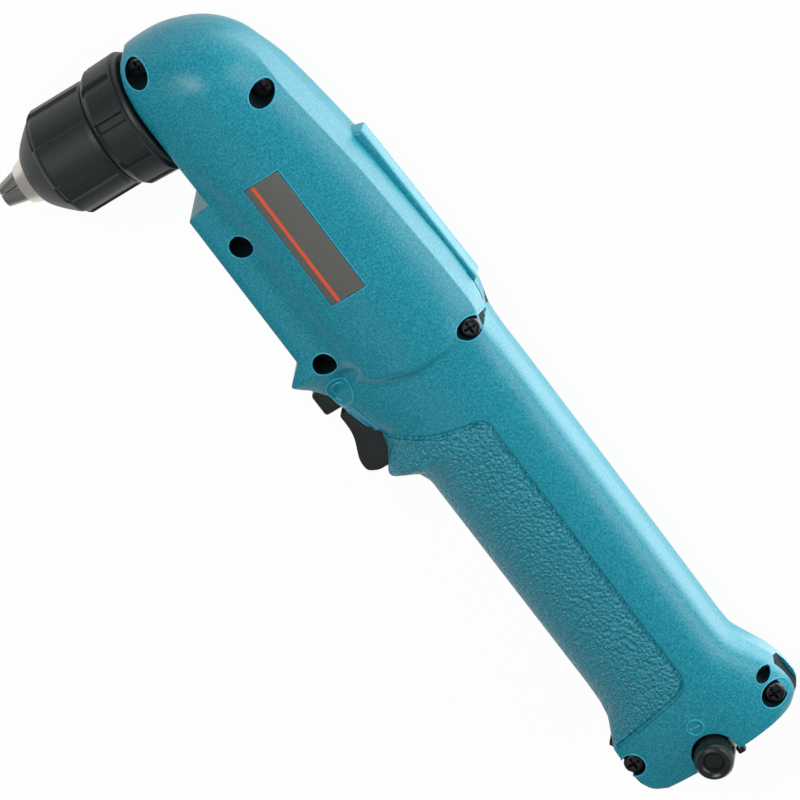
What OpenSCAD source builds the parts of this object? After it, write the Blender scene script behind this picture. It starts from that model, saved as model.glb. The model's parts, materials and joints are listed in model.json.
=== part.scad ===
/* [Chuck] */
// Radius of the bore that the closed jaws leave between them
grip_r = 1; // [0.8:0.1:1.4]
// Diameter of each round jaw
jaw_d = 6.8; // [6.4:0.1:7]
// Tilt of each jaw to the chuck axis, in degrees
jaw_tilt = 15; // [14:0.5:15.5]
// Distance from the chuck axis to each jaw's axis at the tips
jaw_offset = 0.6; // [0.4:0.1:0.8]
// Length of each jaw along the chuck axis
jaw_len = 30; // [27:0.5:31]
// Largest drill shank that the open jaws take, as a diameter
shank_max_d = 10; // [8:0.5:10]
// Length of jaw that stands out of the nose when closed
jaw_reach = 7.6; // [7:0.1:8.2]
// Length of the steel nose that shows in front of the sleeve
nose_len = 4.8; // [4:0.1:5.4]
// Length of the chuck from the jaw tips to its rear face
chuck_len = 57.1; // [56:0.1:60]
// Largest diameter of the rear ring
ring_d = 43.5; // [42:0.5:46]
// Length of the rear ring
ring_len = 13.1; // [12:0.1:13.6]
// Largest diameter of the front sleeve
sleeve_d = 38.8; // [37.5:0.1:40]
// Diameter of the sleeve's front edge
sleeve_mouth_d = 19; // [18.6:0.1:21]
// Diameter of the chuck body behind the nut
chuck_body_d = 29; // [28:0.5:30]
// Number of grip bars round each sleeve
grip_bars = 12; // [8:1:16]
// Height of the grip bars
grip_bar_h = 0.8; // [0.4:0.1:1.2]

/* [Gear train] */
// Tooth module of the bevel pair
bevel_module = 1; // [0.95:0.01:1.05]
// Teeth on the bevel gear
bevel_gear_teeth = 30; // [30:1:32]
// Teeth on the bevel pinion
bevel_pinion_teeth = 12; // [11:1:13]
// Tooth module of the planetary stage
planet_module = 0.6; // [0.58:0.01:0.62]
// Teeth on the sun gear, a multiple of three
sun_teeth = 12; // [12:3:15]
// Face width of the planet gears
planet_w = 6; // [5:0.5:8]
// Width of the front ball bearing
bearing_w = 6; // [5:0.5:7]
// Outer diameter of the front ball bearing
bearing_d = 24; // [22:0.5:26]
// Bore of the front ball bearing
bearing_bore = 12; // [11:0.5:12.5]
// Wall of the cast gear case round the bevel gear
case_wall = 3; // [2.5:0.1:4]

/* [Motor] */
// Outer diameter of the motor can
motor_d = 36; // [35:0.5:38]
// Length of the motor can
motor_len = 57; // [52:1:62]
// Diameter of the motor shaft
motor_shaft_d = 3.2; // [3:0.1:4]

/* [Battery] */
// Diameter of a battery cell
cell_d = 17; // [16:0.5:18]
// Length of a battery cell
cell_len = 43; // [40:0.5:46]
// Cells in each of the two columns
cells_in_column = 3; // [3:1:4]
// Wall of the battery case
battery_wall = 1.2; // [1:0.1:1.6]

/* [Housing] */
// Wall of the moulded housing
wall = 2.5; // [2:0.1:3]
// Room between the battery and the front and back walls of the handle
handle_room = 2.2; // [1.6:0.1:3]
// Room between the battery and each side wall of the handle, where the latch arms run
handle_side_room = 6; // [5.8:0.1:7]
// Room between the motor and the side walls
motor_side_room = 2.5; // [1:0.1:4]
// Room in front of the motor, behind the front wall of the body
body_front_room = 14; // [13:0.5:16]
// Room behind the motor
body_back_room = 4.5; // [4:0.1:6]
// Depth of the lip that guards the reversing lever
lever_guard = 6; // [4:0.5:7]
// Gap between the chuck and the front face of the housing
chuck_gap = 1.4; // [1:0.1:2]
// Shank diameter of the housing screws
screw_d = 4; // [3.5:0.1:4.2]
// Head diameter of the housing screws
screw_head_d = 6.8; // [6.4:0.1:7.2]
// Diameter of the wrist strap hole
strap_hole_d = 4.6; // [4:0.1:5]
// Width of the name plate
plate_w = 13.6; // [12:0.1:14]
// Length of the name plate
plate_len = 49.5; // [45:0.5:51]
// Thickness of the name plate
plate_t = 0.8; // [0.6:0.1:1]

/* [Controls] */
// Width of the trigger
trigger_w = 17; // [15:0.5:18]
// Travel of the trigger
trigger_travel = 5; // [4:0.5:5.5]
// Width of the reversing lever
lever_w = 9; // [8:0.5:9.5]
// Thickness of the reversing lever along the handle
lever_h = 9; // [8:0.5:9.5]
// Width of the switch
switch_w = 18; // [17:0.5:20]
// Depth of the switch
switch_len = 34; // [32:0.5:36]

/* [Latch] */
// Diameter of the hub knobs
hub_d = 12.8; // [12:0.1:13.4]
// Length of each hub knob outside the housing
hub_reach = 6; // [5:0.5:7]
// Diameter of the hub pins
hub_pin_d = 4; // [3.6:0.1:4.2]
// Thickness of the latch arms
latch_t = 1.8; // [1.5:0.1:2]
// Half width of the strip that hooks the front of the handle
latch_strip_half = 6; // [5:0.5:7]

/* [Hidden] */
$fn = 64;
// Clearances
run = 0.05;
clear = 0.4;
seat = 0.3;
jaw_gap = 0.15;

// Chuck, along X from the jaw tips
jaw_r = jaw_d / 2;
sleeve_x = jaw_reach + nose_len;
ring_x = chuck_len - ring_len;
sleeve_end_x = ring_x - seat;
sleeve_r = sleeve_d / 2;
sleeve_mouth_r = sleeve_mouth_d / 2;
sleeve_lip = 0.8;
nose_front_r = 6.8;
nose_r = sleeve_mouth_r - sleeve_lip - 2 * run;
sleeve_round = 9.9;
sleeve_wall = 2.8;
sleeve_inner_r = sleeve_r - sleeve_wall;
chuck_body_r = chuck_body_d / 2;
jaw_travel = (shank_max_d / 2 - grip_r) / sin(jaw_tilt);
nut_x = sleeve_x + 11.6;
nut_len = 7;
nut_core_r = 9;
shoulder_r = 12.5;
chuck_bore_r = shank_max_d / 2 + 0.2;
spindle_thread_r = 4.76;
spindle_socket_len = 11;
socket_x = chuck_len - spindle_socket_len;
chuck_web = 2.5;
chuck_screw_r = 2.4;
chuck_screw_head_r = 4;
chuck_screw_head_h = 3;
chuck_screw_depth = 12;
ring_r = ring_d / 2;
ring_taper = 0.4;
ring_chamfer = 2;
ring_cup_len = 5;
grip_bar_w = 4;

// Bevel pair, whose cones meet on the chuck axis
head_x = chuck_len + chuck_gap;
bearing_x = head_x + wall + seat;
bearing_end_x = bearing_x + bearing_w;
gear_hub_len = 7.7;
gear_back_len = 4;
gear_r = bevel_module * bevel_gear_teeth / 2;
pinion_r = bevel_module * bevel_pinion_teeth / 2;
gear_x = bearing_end_x + gear_hub_len + gear_back_len;
apex_x = gear_x + pinion_r;
toe = 0.7;
tooth_top = 0.8;
tooth_root = 1.15;
tooth_root_share = 0.27;
tooth_tip_share = 0.11;
gear_cavity_r = gear_r + 1.2;
case_r = gear_cavity_r + case_wall;
case_gap = 1.5;
drum_wall = 2;
head_r = case_r + case_gap + wall;
bearing_r = bearing_d / 2;
bore_r = bearing_bore / 2;
race_t = 1.5;
ball_count = 10;
spindle_rear_r = 4;
spindle_flange_r = 7.5;
rear_bush_len = 5;
rear_bush_wall = 2.5;
rear_bush_x = apex_x + 2.5;
spindle_end_x = rear_bush_x + rear_bush_len + 0.5;

// Planetary stage and motor, along Y below the chuck axis
pinion_back = 2.2;
pinion_back_y = -gear_r - pinion_back;
barrel_top = pinion_back_y + 3;
pinion_bore_r = 2.5;
output_shaft_r = 4;
pinion_bearing_r = 8;
pinion_bearing_w = 5;
stack_gap = 0.5;
pinion_bearing_y = pinion_back_y - stack_gap;
carrier_y = pinion_bearing_y - pinion_bearing_w - stack_gap;
carrier_t = 4;
planet_y = carrier_y - carrier_t - stack_gap;
planet_end_y = planet_y - planet_w;
planet_teeth = 18;
ring_teeth = sun_teeth + 2 * planet_teeth;
planet_orbit_r = planet_module * (sun_teeth + planet_teeth) / 2;
planet_pin_r = 1.5;
carrier_r = planet_orbit_r + planet_pin_r + 2;
ring_gear_wall = 1.5;
ring_gear_r = planet_module * (ring_teeth / 2 + 1.2) + ring_gear_wall;
barrel_wall = 1.6;
barrel_r = ring_gear_r + barrel_wall;
motor_y = planet_end_y - 2.3;
motor_r = motor_d / 2;
motor_wall = 1;
motor_cap_t = 4;
motor_back_y = motor_y - motor_len;
motor_end_y = motor_back_y - motor_cap_t;
motor_shaft_r = motor_shaft_d / 2;
magnet_t = 2.4;
magnet_r = motor_r - motor_wall;
armature_r = magnet_r - magnet_t - 0.5;
armature_y = motor_y - 12;
armature_len = motor_len - 31;
winding_len = 5;
commutator_r = 6;
commutator_len = 8;
commutator_y = motor_back_y + commutator_len + 3;
brush_r = 2.2;

// Switch, controls and battery, further along Y
switch_y = motor_end_y - 9;
lever_bay = 16;
trigger_bay = 22;
switch_mid_y = switch_y - lever_bay;
switch_end_y = switch_mid_y - trigger_bay;
handle_x = apex_x - 2;
cell_pitch = cell_d + 0.4;
battery_depth = 2 * cell_pitch + 2 * battery_wall + 0.8;
battery_half_w = cell_d / 2 + battery_wall + 0.8;
battery_y = switch_end_y - 8;
battery_len = cells_in_column * cell_len + 2 * battery_wall;
battery_end_y = battery_y - battery_len;
battery_cap_t = 1.2;
battery_corner = 4;
cap_lip = 4;
battery_front = handle_x - battery_depth / 2;
battery_back = handle_x + battery_depth / 2;
cap_front = battery_front - cap_lip;
cap_end_y = battery_end_y - battery_cap_t;
block_y = battery_y + 6;
block_t = 4;
contact_t = 0.8;
blade_w = 5;
switch_x = handle_x - 21;
trigger_back = switch_x - trigger_travel - 1;
trigger_stem_r = 2.5;
trigger_stem_len = 12;
spring_wire_r = 0.4;
spring_r = 3.6;
spring_coils = 4;
lever_pivot_x = switch_x + 4;
lever_pin_r = 2;
lever_hub_r = 4.5;
lever_end_y = switch_mid_y + seat;
lever_tip_x = switch_x - 19.5;
slot_half = trigger_w / 2 + clear;

// Housing outline
body_front = apex_x - motor_r - body_front_room - wall;
body_back = apex_x + motor_r + body_back_room + wall;
body_half_w = motor_r + motor_side_room + wall;
handle_front = battery_front - handle_room - wall;
handle_back = battery_back + handle_room + wall;
handle_half_w = battery_half_w + handle_side_room + wall;
ledge_y = motor_y + 2;
hub_y = cap_end_y - 0.7;
tail_y = cap_end_y - 3.4;
tail_front = handle_front - 4.3;
tail_back = handle_back + 8.4;
dome_x = head_x + 11.5;
dome_depth = 33;
dome_drop = 8;
dome_power = 0.84;
section_power = 2.5;
section_steps = 7;

// Each row is a station along Y: its place, its front and back edges, its half width,
// and the share of the half width that is flat at the back and at the front
function dome_back(y) = dome_x + dome_depth * sqrt(1 - pow((y + dome_drop) / (head_r + dome_drop), 2));
head_stations = [
    for (turn = [86, 72, 58, 44, 30, 15, 0])
        let (y = head_r * pow(sin(turn), dome_power), half = head_r * pow(cos(turn), dome_power))
            [y, head_x, dome_back(y), half, 0.1 + 0.15 * cos(turn), 0.84]
];
body_stations = [
    [-12, head_x, body_back - 6.3, body_half_w, 0.42, 0.82],
    [-24, head_x, body_back - 4.8, body_half_w, 0.46, 0.8],
    [ledge_y + 0.4, head_x, body_back - 3.6, body_half_w, 0.48, 0.78],
    [ledge_y, body_front, body_back - 3.6, body_half_w, 0.48, 0.74],
    [motor_y - 16, body_front, body_back - 1.8, body_half_w, 0.5, 0.74],
    [motor_end_y + 4, body_front, body_back, body_half_w, 0.5, 0.72],
    [motor_end_y - 2.5, body_front - lever_guard + 0.8, body_back, body_half_w, 0.52, 0.68],
    [switch_y + 0.8, body_front - lever_guard, body_back, body_half_w - 0.6, 0.54, 0.66],
    [switch_y - 0.8, body_front - lever_guard + 1.6, body_back, body_half_w - 1, 0.54, 0.62]
];
grip_stations = [
    [switch_y - 7, switch_x - 12.5, body_back, body_half_w - 2.4, 0.54, 0.5],
    [switch_y - 12, switch_x - 11, body_back - 1.6, handle_half_w + 0.6, 0.54, 0.5],
    [switch_mid_y - 7, switch_x - 8, handle_back + 1.2, handle_half_w, 0.55, 0.5],
    [switch_mid_y - 11, switch_x - 5.5, handle_back + 0.6, handle_half_w, 0.52, 0.5],
    [switch_mid_y - 17, switch_x - 7.2, handle_back + 0.3, handle_half_w, 0.5, 0.5],
    [switch_end_y - 2, switch_x - 10.2, handle_back, handle_half_w, 0.5, 0.48],
    [switch_end_y - 4.5, switch_x - 10, handle_back, handle_half_w, 0.5, 0.46],
    [switch_end_y - 7, switch_x - 6, handle_back, handle_half_w, 0.5, 0.44],
    [battery_y - 6, handle_front, handle_back, handle_half_w, 0.5, 0.4]
];
tail_stations = [
    [tail_y + 44, handle_front, handle_back, handle_half_w, 0.5, 0.4],
    [tail_y + 36, handle_front - 0.6, handle_back, handle_half_w, 0.46, 0.44],
    [tail_y + 30, handle_front - 1.8, handle_back + 0.3, handle_half_w - 0.1, 0.42, 0.54],
    [tail_y + 25, tail_front + 1, handle_back + 2.7, handle_half_w - 0.2, 0.36, 0.68],
    [tail_y + 21, tail_front, handle_back + 4.8, handle_half_w - 0.4, 0.32, 0.8],
    [tail_y + 17, tail_front, handle_back + 6.6, handle_half_w - 0.5, 0.3, 0.84],
    [tail_y + 11, tail_front, tail_back - 0.2, handle_half_w - 0.8, 0.3, 0.85],
    [tail_y + 6.5, tail_front + 0.4, tail_back, handle_half_w - 1, 0.3, 0.85],
    [tail_y + 3, tail_front + 2, tail_back - 0.8, handle_half_w - 1.2, 0.32, 0.84],
    [tail_y + 1.2, tail_front + 4, tail_back - 2.4, handle_half_w - 1.4, 0.34, 0.82],
    [tail_y, tail_front + 7, tail_back - 4.8, handle_half_w - 1.8, 0.36, 0.8]
];
stations = concat(head_stations, body_stations, grip_stations, tail_stations);

// Where the pieces are fixed: each screw has its place and the height of its seat
screw_seat = 6;
screw_len = 15;
screw_spots = [
    [head_x + 7.5, head_r - 6.4, screw_seat],
    [apex_x + 11.9, -10.2, screw_seat + 3],
    [body_front + 9.2, motor_y - 15, screw_seat],
    [body_front + 7.2, motor_end_y - 3.5, screw_seat],
    [body_back - 6.2, switch_y - 10.6, screw_seat + 5],
    [handle_back + 3.2, tail_y + 8, screw_seat + 3],
    [handle_front - 1.6, tail_y + 13.3, screw_seat + 6.5]
];
screw_shank_r = screw_d / 2;
screw_head_r = screw_head_d / 2;
screw_head_h = 2.4;
boss_wall = 1.8;
boss_r = screw_shank_r + boss_wall;
counterbore_r = screw_head_r + 0.7;
strap_spot = [handle_back + 3.6, tail_y + 15.2];
strap_slot_x = handle_back + 6.8;
strap_slot_half = 4;
plate_x = handle_x - 9;
plate_y = motor_y + 3;
rib_t = 3;
motor_ribs = [motor_y - 4, motor_y - 52];
battery_ribs = [battery_y - 12, battery_y - 62, tail_y + 21];
pad_end_y = switch_y - 7;
pad_depth = 8.6;
pad_rise = 1.5;

// Latch plate, which turns about the hub axis at handle_x, hub_y
arm_in = battery_half_w + clear + 2 + seat;
arm_out = arm_in + latch_t;
lug_in = battery_half_w + clear;
lug_out = lug_in + 2;
ear_r = 6.8;
hub_base_r = hub_d / 2 + 1.1;
hub_pin_r = hub_pin_d / 2;
hub_r = hub_d / 2;
hub_end = handle_half_w + hub_reach;
notch_r = hub_base_r + seat;
bar_y = tail_y + 0.4;
bar_t = 1.4;
bar_front = cap_front + 1;
strip_x = tail_front - seat;
bar_back = cap_front + 5;

// Solids turned about the chuck axis, from points of [x, radius]
module turned_x(points) {
    rotate([0, 90, 0])
        rotate_extrude()
            polygon([for (p = points) [p[1], p[0]]]);
}

module rod_x(from, to, r) {
    translate([from, 0, 0])
        rotate([0, 90, 0])
            cylinder(r = r, h = to - from);
}

module tube_x(from, to, r_out, r_in) {
    turned_x([[from, r_in], [to, r_in], [to, r_out], [from, r_out]]);
}

// Solids about the motor axis, from a lower to an upper height
module rod_y(from, to, r) {
    translate([apex_x, from, 0])
        rotate([-90, 0, 0])
            cylinder(r = r, h = to - from);
}

module tube_y(from, to, r_out, r_in) {
    translate([apex_x, 0, 0])
        rotate([-90, 0, 0])
            rotate_extrude()
                polygon([[r_in, from], [r_out, from], [r_out, to], [r_in, to]]);
}

// A post across the tool at a spot on the side
module post_z(spot, from, to, r) {
    translate([spot[0], spot[1], from])
        cylinder(r = r, h = to - from);
}

module block(low, high) {
    translate(low)
        cube(high - low);
}

module prism_y(from, to) {
    translate([0, to, 0])
        rotate([90, 0, 0])
            linear_extrude(to - from)
                children();
}

// A rectangle with round corners, about the middle of the handle
module battery_outline(grow) {
    half_x = battery_depth / 2 + grow;
    half_z = battery_half_w + grow;
    r = battery_corner + grow;
    translate([handle_x, 0]) {
        square([2 * half_x - 2 * r, 2 * half_z], center = true);
        square([2 * half_x, 2 * half_z - 2 * r], center = true);
        for (sx = [-1, 1], sz = [-1, 1])
            translate([sx * (half_x - r), sz * (half_z - r)])
                circle(r);
    }
}

// Gear teeth as straight-sided points, with one tooth centred on the angle first
function tooth_sides(low, high) = [
    [-tooth_root_share, low],
    [-tooth_tip_share, high],
    [tooth_tip_share, high],
    [tooth_root_share, low]
];

function toothed(teeth, root_r, tip_r, first) = [
    for (i = [0 : teeth - 1], side = tooth_sides(root_r, tip_r))
        let (turn = (i + side[0]) * 360 / teeth + first)
            side[1] * [cos(turn), sin(turn)]
];

function outer_root(teeth) = planet_module * (teeth / 2 - 1.2);

function outer_tip(teeth) = planet_module * (teeth / 2 + 0.85);

module spur_y(teeth, from, to, first) {
    translate([0, from, 0])
        rotate([-90, 0, 0])
            linear_extrude(to - from)
                polygon(toothed(teeth, outer_root(teeth), outer_tip(teeth), first));
}

// Straight bevel teeth as one closed ring, with the cone's apex at the origin and the gear below it
module bevel_ring(teeth, pitch_r, apex_h, back, inner_r, first) {
    slant = sqrt(pitch_r * pitch_r + apex_h * apex_h);
    rise = [apex_h, pitch_r] / slant;
    heel = [pitch_r, -apex_h];
    back_z = -apex_h - back;
    columns = [
        for (i = [0 : teeth - 1], side = tooth_sides(-tooth_root, tooth_top))
            [(i + side[0]) * 360 / teeth + first, heel + side[1] * bevel_module * rise]
    ];
    corners = 5;
    count = len(columns);
    points = [
        for (c = columns)
            for (p = [
                [inner_r, back_z],
                [c[1][0] - 0.4, back_z],
                c[1],
                toe * c[1],
                [inner_r, toe * c[1][1]]
            ])
                [p[0] * cos(c[0]), p[0] * sin(c[0]), p[1]]
    ];
    faces = [
        for (i = [0 : count - 1], k = [0 : corners - 1])
            let (
                a = i * corners + k,
                b = i * corners + (k + 1) % corners,
                c = ((i + 1) % count) * corners + (k + 1) % corners,
                d = ((i + 1) % count) * corners + k
            )
                each [[a, b, c], [a, c, d]]
    ];
    polyhedron(points, faces);
}

// Housing skin: one half section is a rounded arch with a flat back and a flat front
function column(k) = [for (s = stations) [s[0], s[k]]];

fronts = column(1);
backs = column(2);
halves = column(3);
back_flats = column(4);
front_flats = column(5);

function front_at(y, inset) = max([for (d = [-inset, 0, inset]) lookup(y + d, fronts)]) + inset;

function back_at(y, inset) = min([for (d = [-inset, 0, inset]) lookup(y + d, backs)]) - inset;

function half_at(y, inset) = min([for (d = [-inset, 0, inset]) lookup(y + d, halves)]) - inset;

function arch(y, front, back, half, back_flat, front_flat) =
    let (
        mid = (front + back) / 2,
        back_turn = asin(pow(back_flat, section_power / 2)),
        front_turn = asin(pow(front_flat, section_power / 2)),
        back_axis = (back - mid) / pow(cos(back_turn), 2 / section_power),
        front_axis = (mid - front) / pow(cos(front_turn), 2 / section_power)
    )
        concat(
            [[back, y, 0]],
            [
                for (i = [0 : section_steps])
                    let (turn = back_turn + (90 - back_turn) * i / section_steps)
                        [
                            mid + back_axis * pow(max(cos(turn), 0), 2 / section_power),
                            y,
                            half * pow(sin(turn), 2 / section_power)
                        ]
            ],
            [
                for (i = [section_steps - 1 : -1 : 0])
                    let (turn = front_turn + (90 - front_turn) * i / section_steps)
                        [
                            mid - front_axis * pow(max(cos(turn), 0), 2 / section_power),
                            y,
                            half * pow(sin(turn), 2 / section_power)
                        ]
            ],
            [[front, y, 0]]
        );

module loft(rings) {
    size = len(rings[0]);
    count = len(rings);
    faces = concat(
        [for (k = [1 : size - 2]) [0, k + 1, k]],
        [for (k = [1 : size - 2]) (count - 1) * size * [1, 1, 1] + [0, k, k + 1]],
        [
            for (i = [0 : count - 2], k = [0 : size - 1])
                let (
                    a = i * size + k,
                    b = i * size + (k + 1) % size,
                    c = a + size,
                    d = b + size
                )
                    each [[a, b, d], [a, d, c]]
        ]
    );
    polyhedron([for (r = rings) each r], faces);
}

function reversed(list) = [for (i = [len(list) - 1 : -1 : 0]) list[i]];

module outer_half() {
    loft([for (s = reversed(stations)) arch(s[0], s[1], s[2], s[3], s[4], s[5])]);
}

// The hollow, whose floor is a little below the parting plane, and whose handle runs straight out at the end
module hollow() {
    inner_front = handle_front + wall;
    inner_back = handle_back - wall;
    top_y = head_r - 1.5 * wall;
    heights = concat(
        [top_y],
        [for (s = stations) if (s[0] < top_y - 1 && s[0] > battery_y - 8) s[0]],
        [tail_y + 1, tail_y - 4]
    );
    rings = [
        for (y = reversed(heights))
            let (in_handle = y < switch_end_y)
                arch(
                    y,
                    in_handle ? max(front_at(y, wall), inner_front) : front_at(y, wall),
                    in_handle ? inner_back : back_at(y, wall),
                    half_at(y, wall),
                    lookup(y, back_flats),
                    in_handle ? 0.4 : lookup(y, front_flats)
                )
    ];
    loft([for (ring = rings) concat(ring, [for (k = [len(ring) - 1, 0]) ring[k] - [0, 0, 1]])]);
}

module kept_inside(post_r) {
    for (spot = screw_spots)
        post_z(spot, -0.5, head_r, post_r);
    post_z(strap_spot, -0.5, head_r, strap_hole_d / 2 + wall);
    for (y = concat(motor_ribs, battery_ribs, [switch_mid_y - 5, block_y]))
        block([body_front - lever_guard, y - rib_t, -0.5], [tail_back, y, head_r]);
    block(
        [handle_x - hub_base_r, tail_y - 1, lug_in],
        [handle_x + hub_base_r, battery_ribs[2], lug_out]
    );
}

module inner_clearances() {
    rod_x(head_x - 1, head_x + wall + 1, bearing_r + 3 + clear);
    rod_x(head_x + wall, gear_x + drum_wall + 3.6, case_r + clear);
    rod_x(gear_x, rear_bush_x + rear_bush_len + 1.5, spindle_rear_r + rear_bush_wall + 2 + clear);
    rod_y(motor_y, planet_y + 2.2, barrel_r + clear);
    rod_y(motor_y, barrel_top + clear, carrier_r + 0.6 + barrel_wall + clear);
    rod_y(motor_end_y, motor_y, motor_r);
    prism_y(tail_y - 5, battery_y + contact_t)
        battery_outline(clear);
    block(
        [cap_front - clear, tail_y - 5, -battery_half_w - clear],
        [battery_back, battery_end_y + clear, battery_half_w + clear]
    );
    block(
        [bar_front - clear, tail_y - 5, -arm_out - seat],
        [handle_x, hub_y + ear_r / 2, arm_out + seat]
    );
    translate([0, 0, -latch_strip_half - clear])
        linear_extrude(2 * (latch_strip_half + clear))
            polygon([
                [bar_back + 2, tail_y - 5],
                [bar_back + 2, bar_y + bar_t + seat],
                [bar_front + 0.6, bar_y + bar_t + seat],
                [strip_x + 2, tail_y + 5.6 + seat],
                [strip_x + 0.9, tail_y + 12.4],
                [strip_x - 6, tail_y + 12.4],
                [strip_x - 6, tail_y - 5]
            ]);
    switch_block();
    block(
        [switch_x - 30, switch_end_y - 1.5, -slot_half],
        [switch_x, switch_y - 1, slot_half]
    );
    contact_base();
}

module outer_cuts(head_side) {
    for (spot = screw_spots)
        post_z(spot, -1, head_side ? head_r + 2 : screw_len - spot[2] + seat, screw_shank_r + run);
    post_z(strap_spot, -1, head_r + 2, strap_hole_d / 2);
    block([strap_slot_x, tail_y - 1, -1], [tail_back + 2, tail_y + 17.5, strap_slot_half]);
    post_z([handle_x, hub_y], lug_out + 0.1, handle_half_w + 1, notch_r);
    block([handle_x - notch_r, tail_y - 1, lug_out + 0.1], [handle_x + notch_r, hub_y, handle_half_w + 1]);
    post_z([handle_x, hub_y], lug_in - 1, lug_out + 1, hub_pin_r);
}

// Half of the housing on the +Z side; screw heads sit in its counterbores when it is the head side
module housing_half(head_side) {
    difference() {
        outer_half();
        difference() {
            hollow();
            kept_inside(head_side ? counterbore_r + boss_wall : boss_r);
        }
        inner_clearances();
        outer_cuts(head_side);
        if (head_side) {
            for (spot = screw_spots)
                post_z(spot, spot[2], head_r + 2, counterbore_r);
            block(
                [plate_x, plate_y - plate_len, body_half_w - plate_t],
                [plate_x + plate_w, plate_y, body_half_w + 1]
            );
        }
    }
}

module left_housing() {
    color("teal")
        housing_half(true);
}

module right_housing() {
    color("teal")
        mirror([0, 0, 1]) {
            housing_half(false);
            back_pad();
        }
}

// Raised rest along the back of the right half
module back_pad() {
    rest_x = body_back - 2;
    block([rest_x, pad_end_y, 0.4], [body_back + pad_rise, ledge_y - 10, pad_depth]);
}

module housing_screws() {
    color("#202224")
        for (spot = screw_spots)
            difference() {
                union() {
                    post_z(spot, spot[2], spot[2] + screw_head_h, screw_head_r);
                    post_z(spot, spot[2] - screw_len, spot[2], screw_shank_r);
                }
                for (turn = [0, 90])
                    translate([spot[0], spot[1], spot[2] + screw_head_h])
                        rotate([0, 0, turn])
                            cube([screw_head_r * 1.2, 1, 2.4], center = true);
            }
}

module name_plate() {
    color("#5f5f5a")
        block(
            [plate_x + clear / 2, plate_y - plate_len + clear / 2, body_half_w - plate_t],
            [plate_x + plate_w - clear / 2, plate_y - clear / 2, body_half_w]
        );
}

// Trigger with a finger curve down its front
module trigger() {
    front = switch_x - 14;
    top = switch_mid_y + 1;
    low = switch_end_y - 0.3;
    color("#23282a") {
        translate([0, 0, -trigger_w / 2])
            linear_extrude(trigger_w)
                polygon([
                    [trigger_back, top],
                    [front, top],
                    [front - 0.1, top - 7],
                    [front - 1.4, top - 11],
                    [front - 2.8, top - 14.5],
                    [front - 4, top - 18.4],
                    [front - 3.7, top - 20.4],
                    [front - 2.4, top - 21.8],
                    [front - 0.5, low + 0.4],
                    [trigger_back, low]
                ]);
        translate([0, switch_mid_y - trigger_bay / 2, 0])
            rod_x(trigger_back - 1, trigger_back + trigger_stem_len, trigger_stem_r);
    }
}

// Coil spring round the trigger stem, as one swept wire
module trigger_spring() {
    sides = 6;
    steps = 8 * spring_coils;
    from = trigger_back + spring_wire_r + 0.1;
    to = switch_x - spring_wire_r - 0.1;
    rings = [
        for (i = [0 : steps])
            let (
                turn = 360 * spring_coils * i / steps,
                x = from + (to - from) * i / steps
            )
                [
                    for (k = [0 : sides - 1])
                        let (r = spring_r + spring_wire_r * cos(360 * k / sides))
                            [x - spring_wire_r * sin(360 * k / sides), r * cos(turn), r * sin(turn)]
                ]
    ];
    color("silver")
        translate([0, switch_mid_y - trigger_bay / 2, 0])
            loft(reversed(rings));
}

module reversing_lever() {
    tip_y = lever_end_y + lever_h;
    color("#23282a")
        difference() {
            union() {
                block(
                    [lever_tip_x, lever_end_y + 1, -lever_w / 2],
                    [lever_tip_x + 8, tip_y + 1, lever_w / 2]
                );
                block(
                    [lever_tip_x + 7, lever_end_y + 2, -lever_w / 4],
                    [lever_pivot_x, tip_y - 1, lever_w / 4]
                );
                translate([lever_pivot_x - apex_x, 0, 0])
                    rod_y(lever_end_y, tip_y, lever_hub_r);
            }
            translate([lever_pivot_x - apex_x, 0, 0])
                rod_y(lever_end_y - 1, tip_y + 1, lever_pin_r + run);
        }
}

module switch_block() {
    block([switch_x, switch_end_y, -switch_w / 2], [switch_x + switch_len, switch_mid_y, switch_w / 2]);
    block(
        [lever_pivot_x + lever_hub_r + 0.5, switch_mid_y - 1, -switch_w / 2],
        [switch_x + switch_len, switch_y, switch_w / 2]
    );
}

module switch_body() {
    stem_end = trigger_back + trigger_stem_len;
    color("#2b2b2b") {
        difference() {
            switch_block();
            translate([0, switch_mid_y - trigger_bay / 2, 0])
                rod_x(switch_x - 1, stem_end + trigger_travel + 1, trigger_stem_r + run);
        }
        translate([lever_pivot_x - apex_x, 0, 0])
            rod_y(switch_mid_y - 1, switch_mid_y + lever_h + 2, lever_pin_r);
    }
}

module switch_terminals() {
    color("goldenrod")
        for (side = [-1, 1]) {
            block(
                [handle_x + side * cell_pitch / 2 - blade_w / 2, switch_end_y - 1.4, -contact_t / 2],
                [handle_x + side * cell_pitch / 2 + blade_w / 2, switch_end_y, contact_t / 2]
            );
            block(
                [apex_x + side * 5 - 1.5, switch_y, -contact_t / 2],
                [apex_x + side * 5 + 1.5, switch_y + 2, contact_t / 2]
            );
        }
}

module lead_wires() {
    color("#b03028")
        for (side = [-1, 1])
            translate([side * 5, 0, 0])
                rod_y(switch_y + 2, motor_end_y - 2, 0.9);
}

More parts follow.
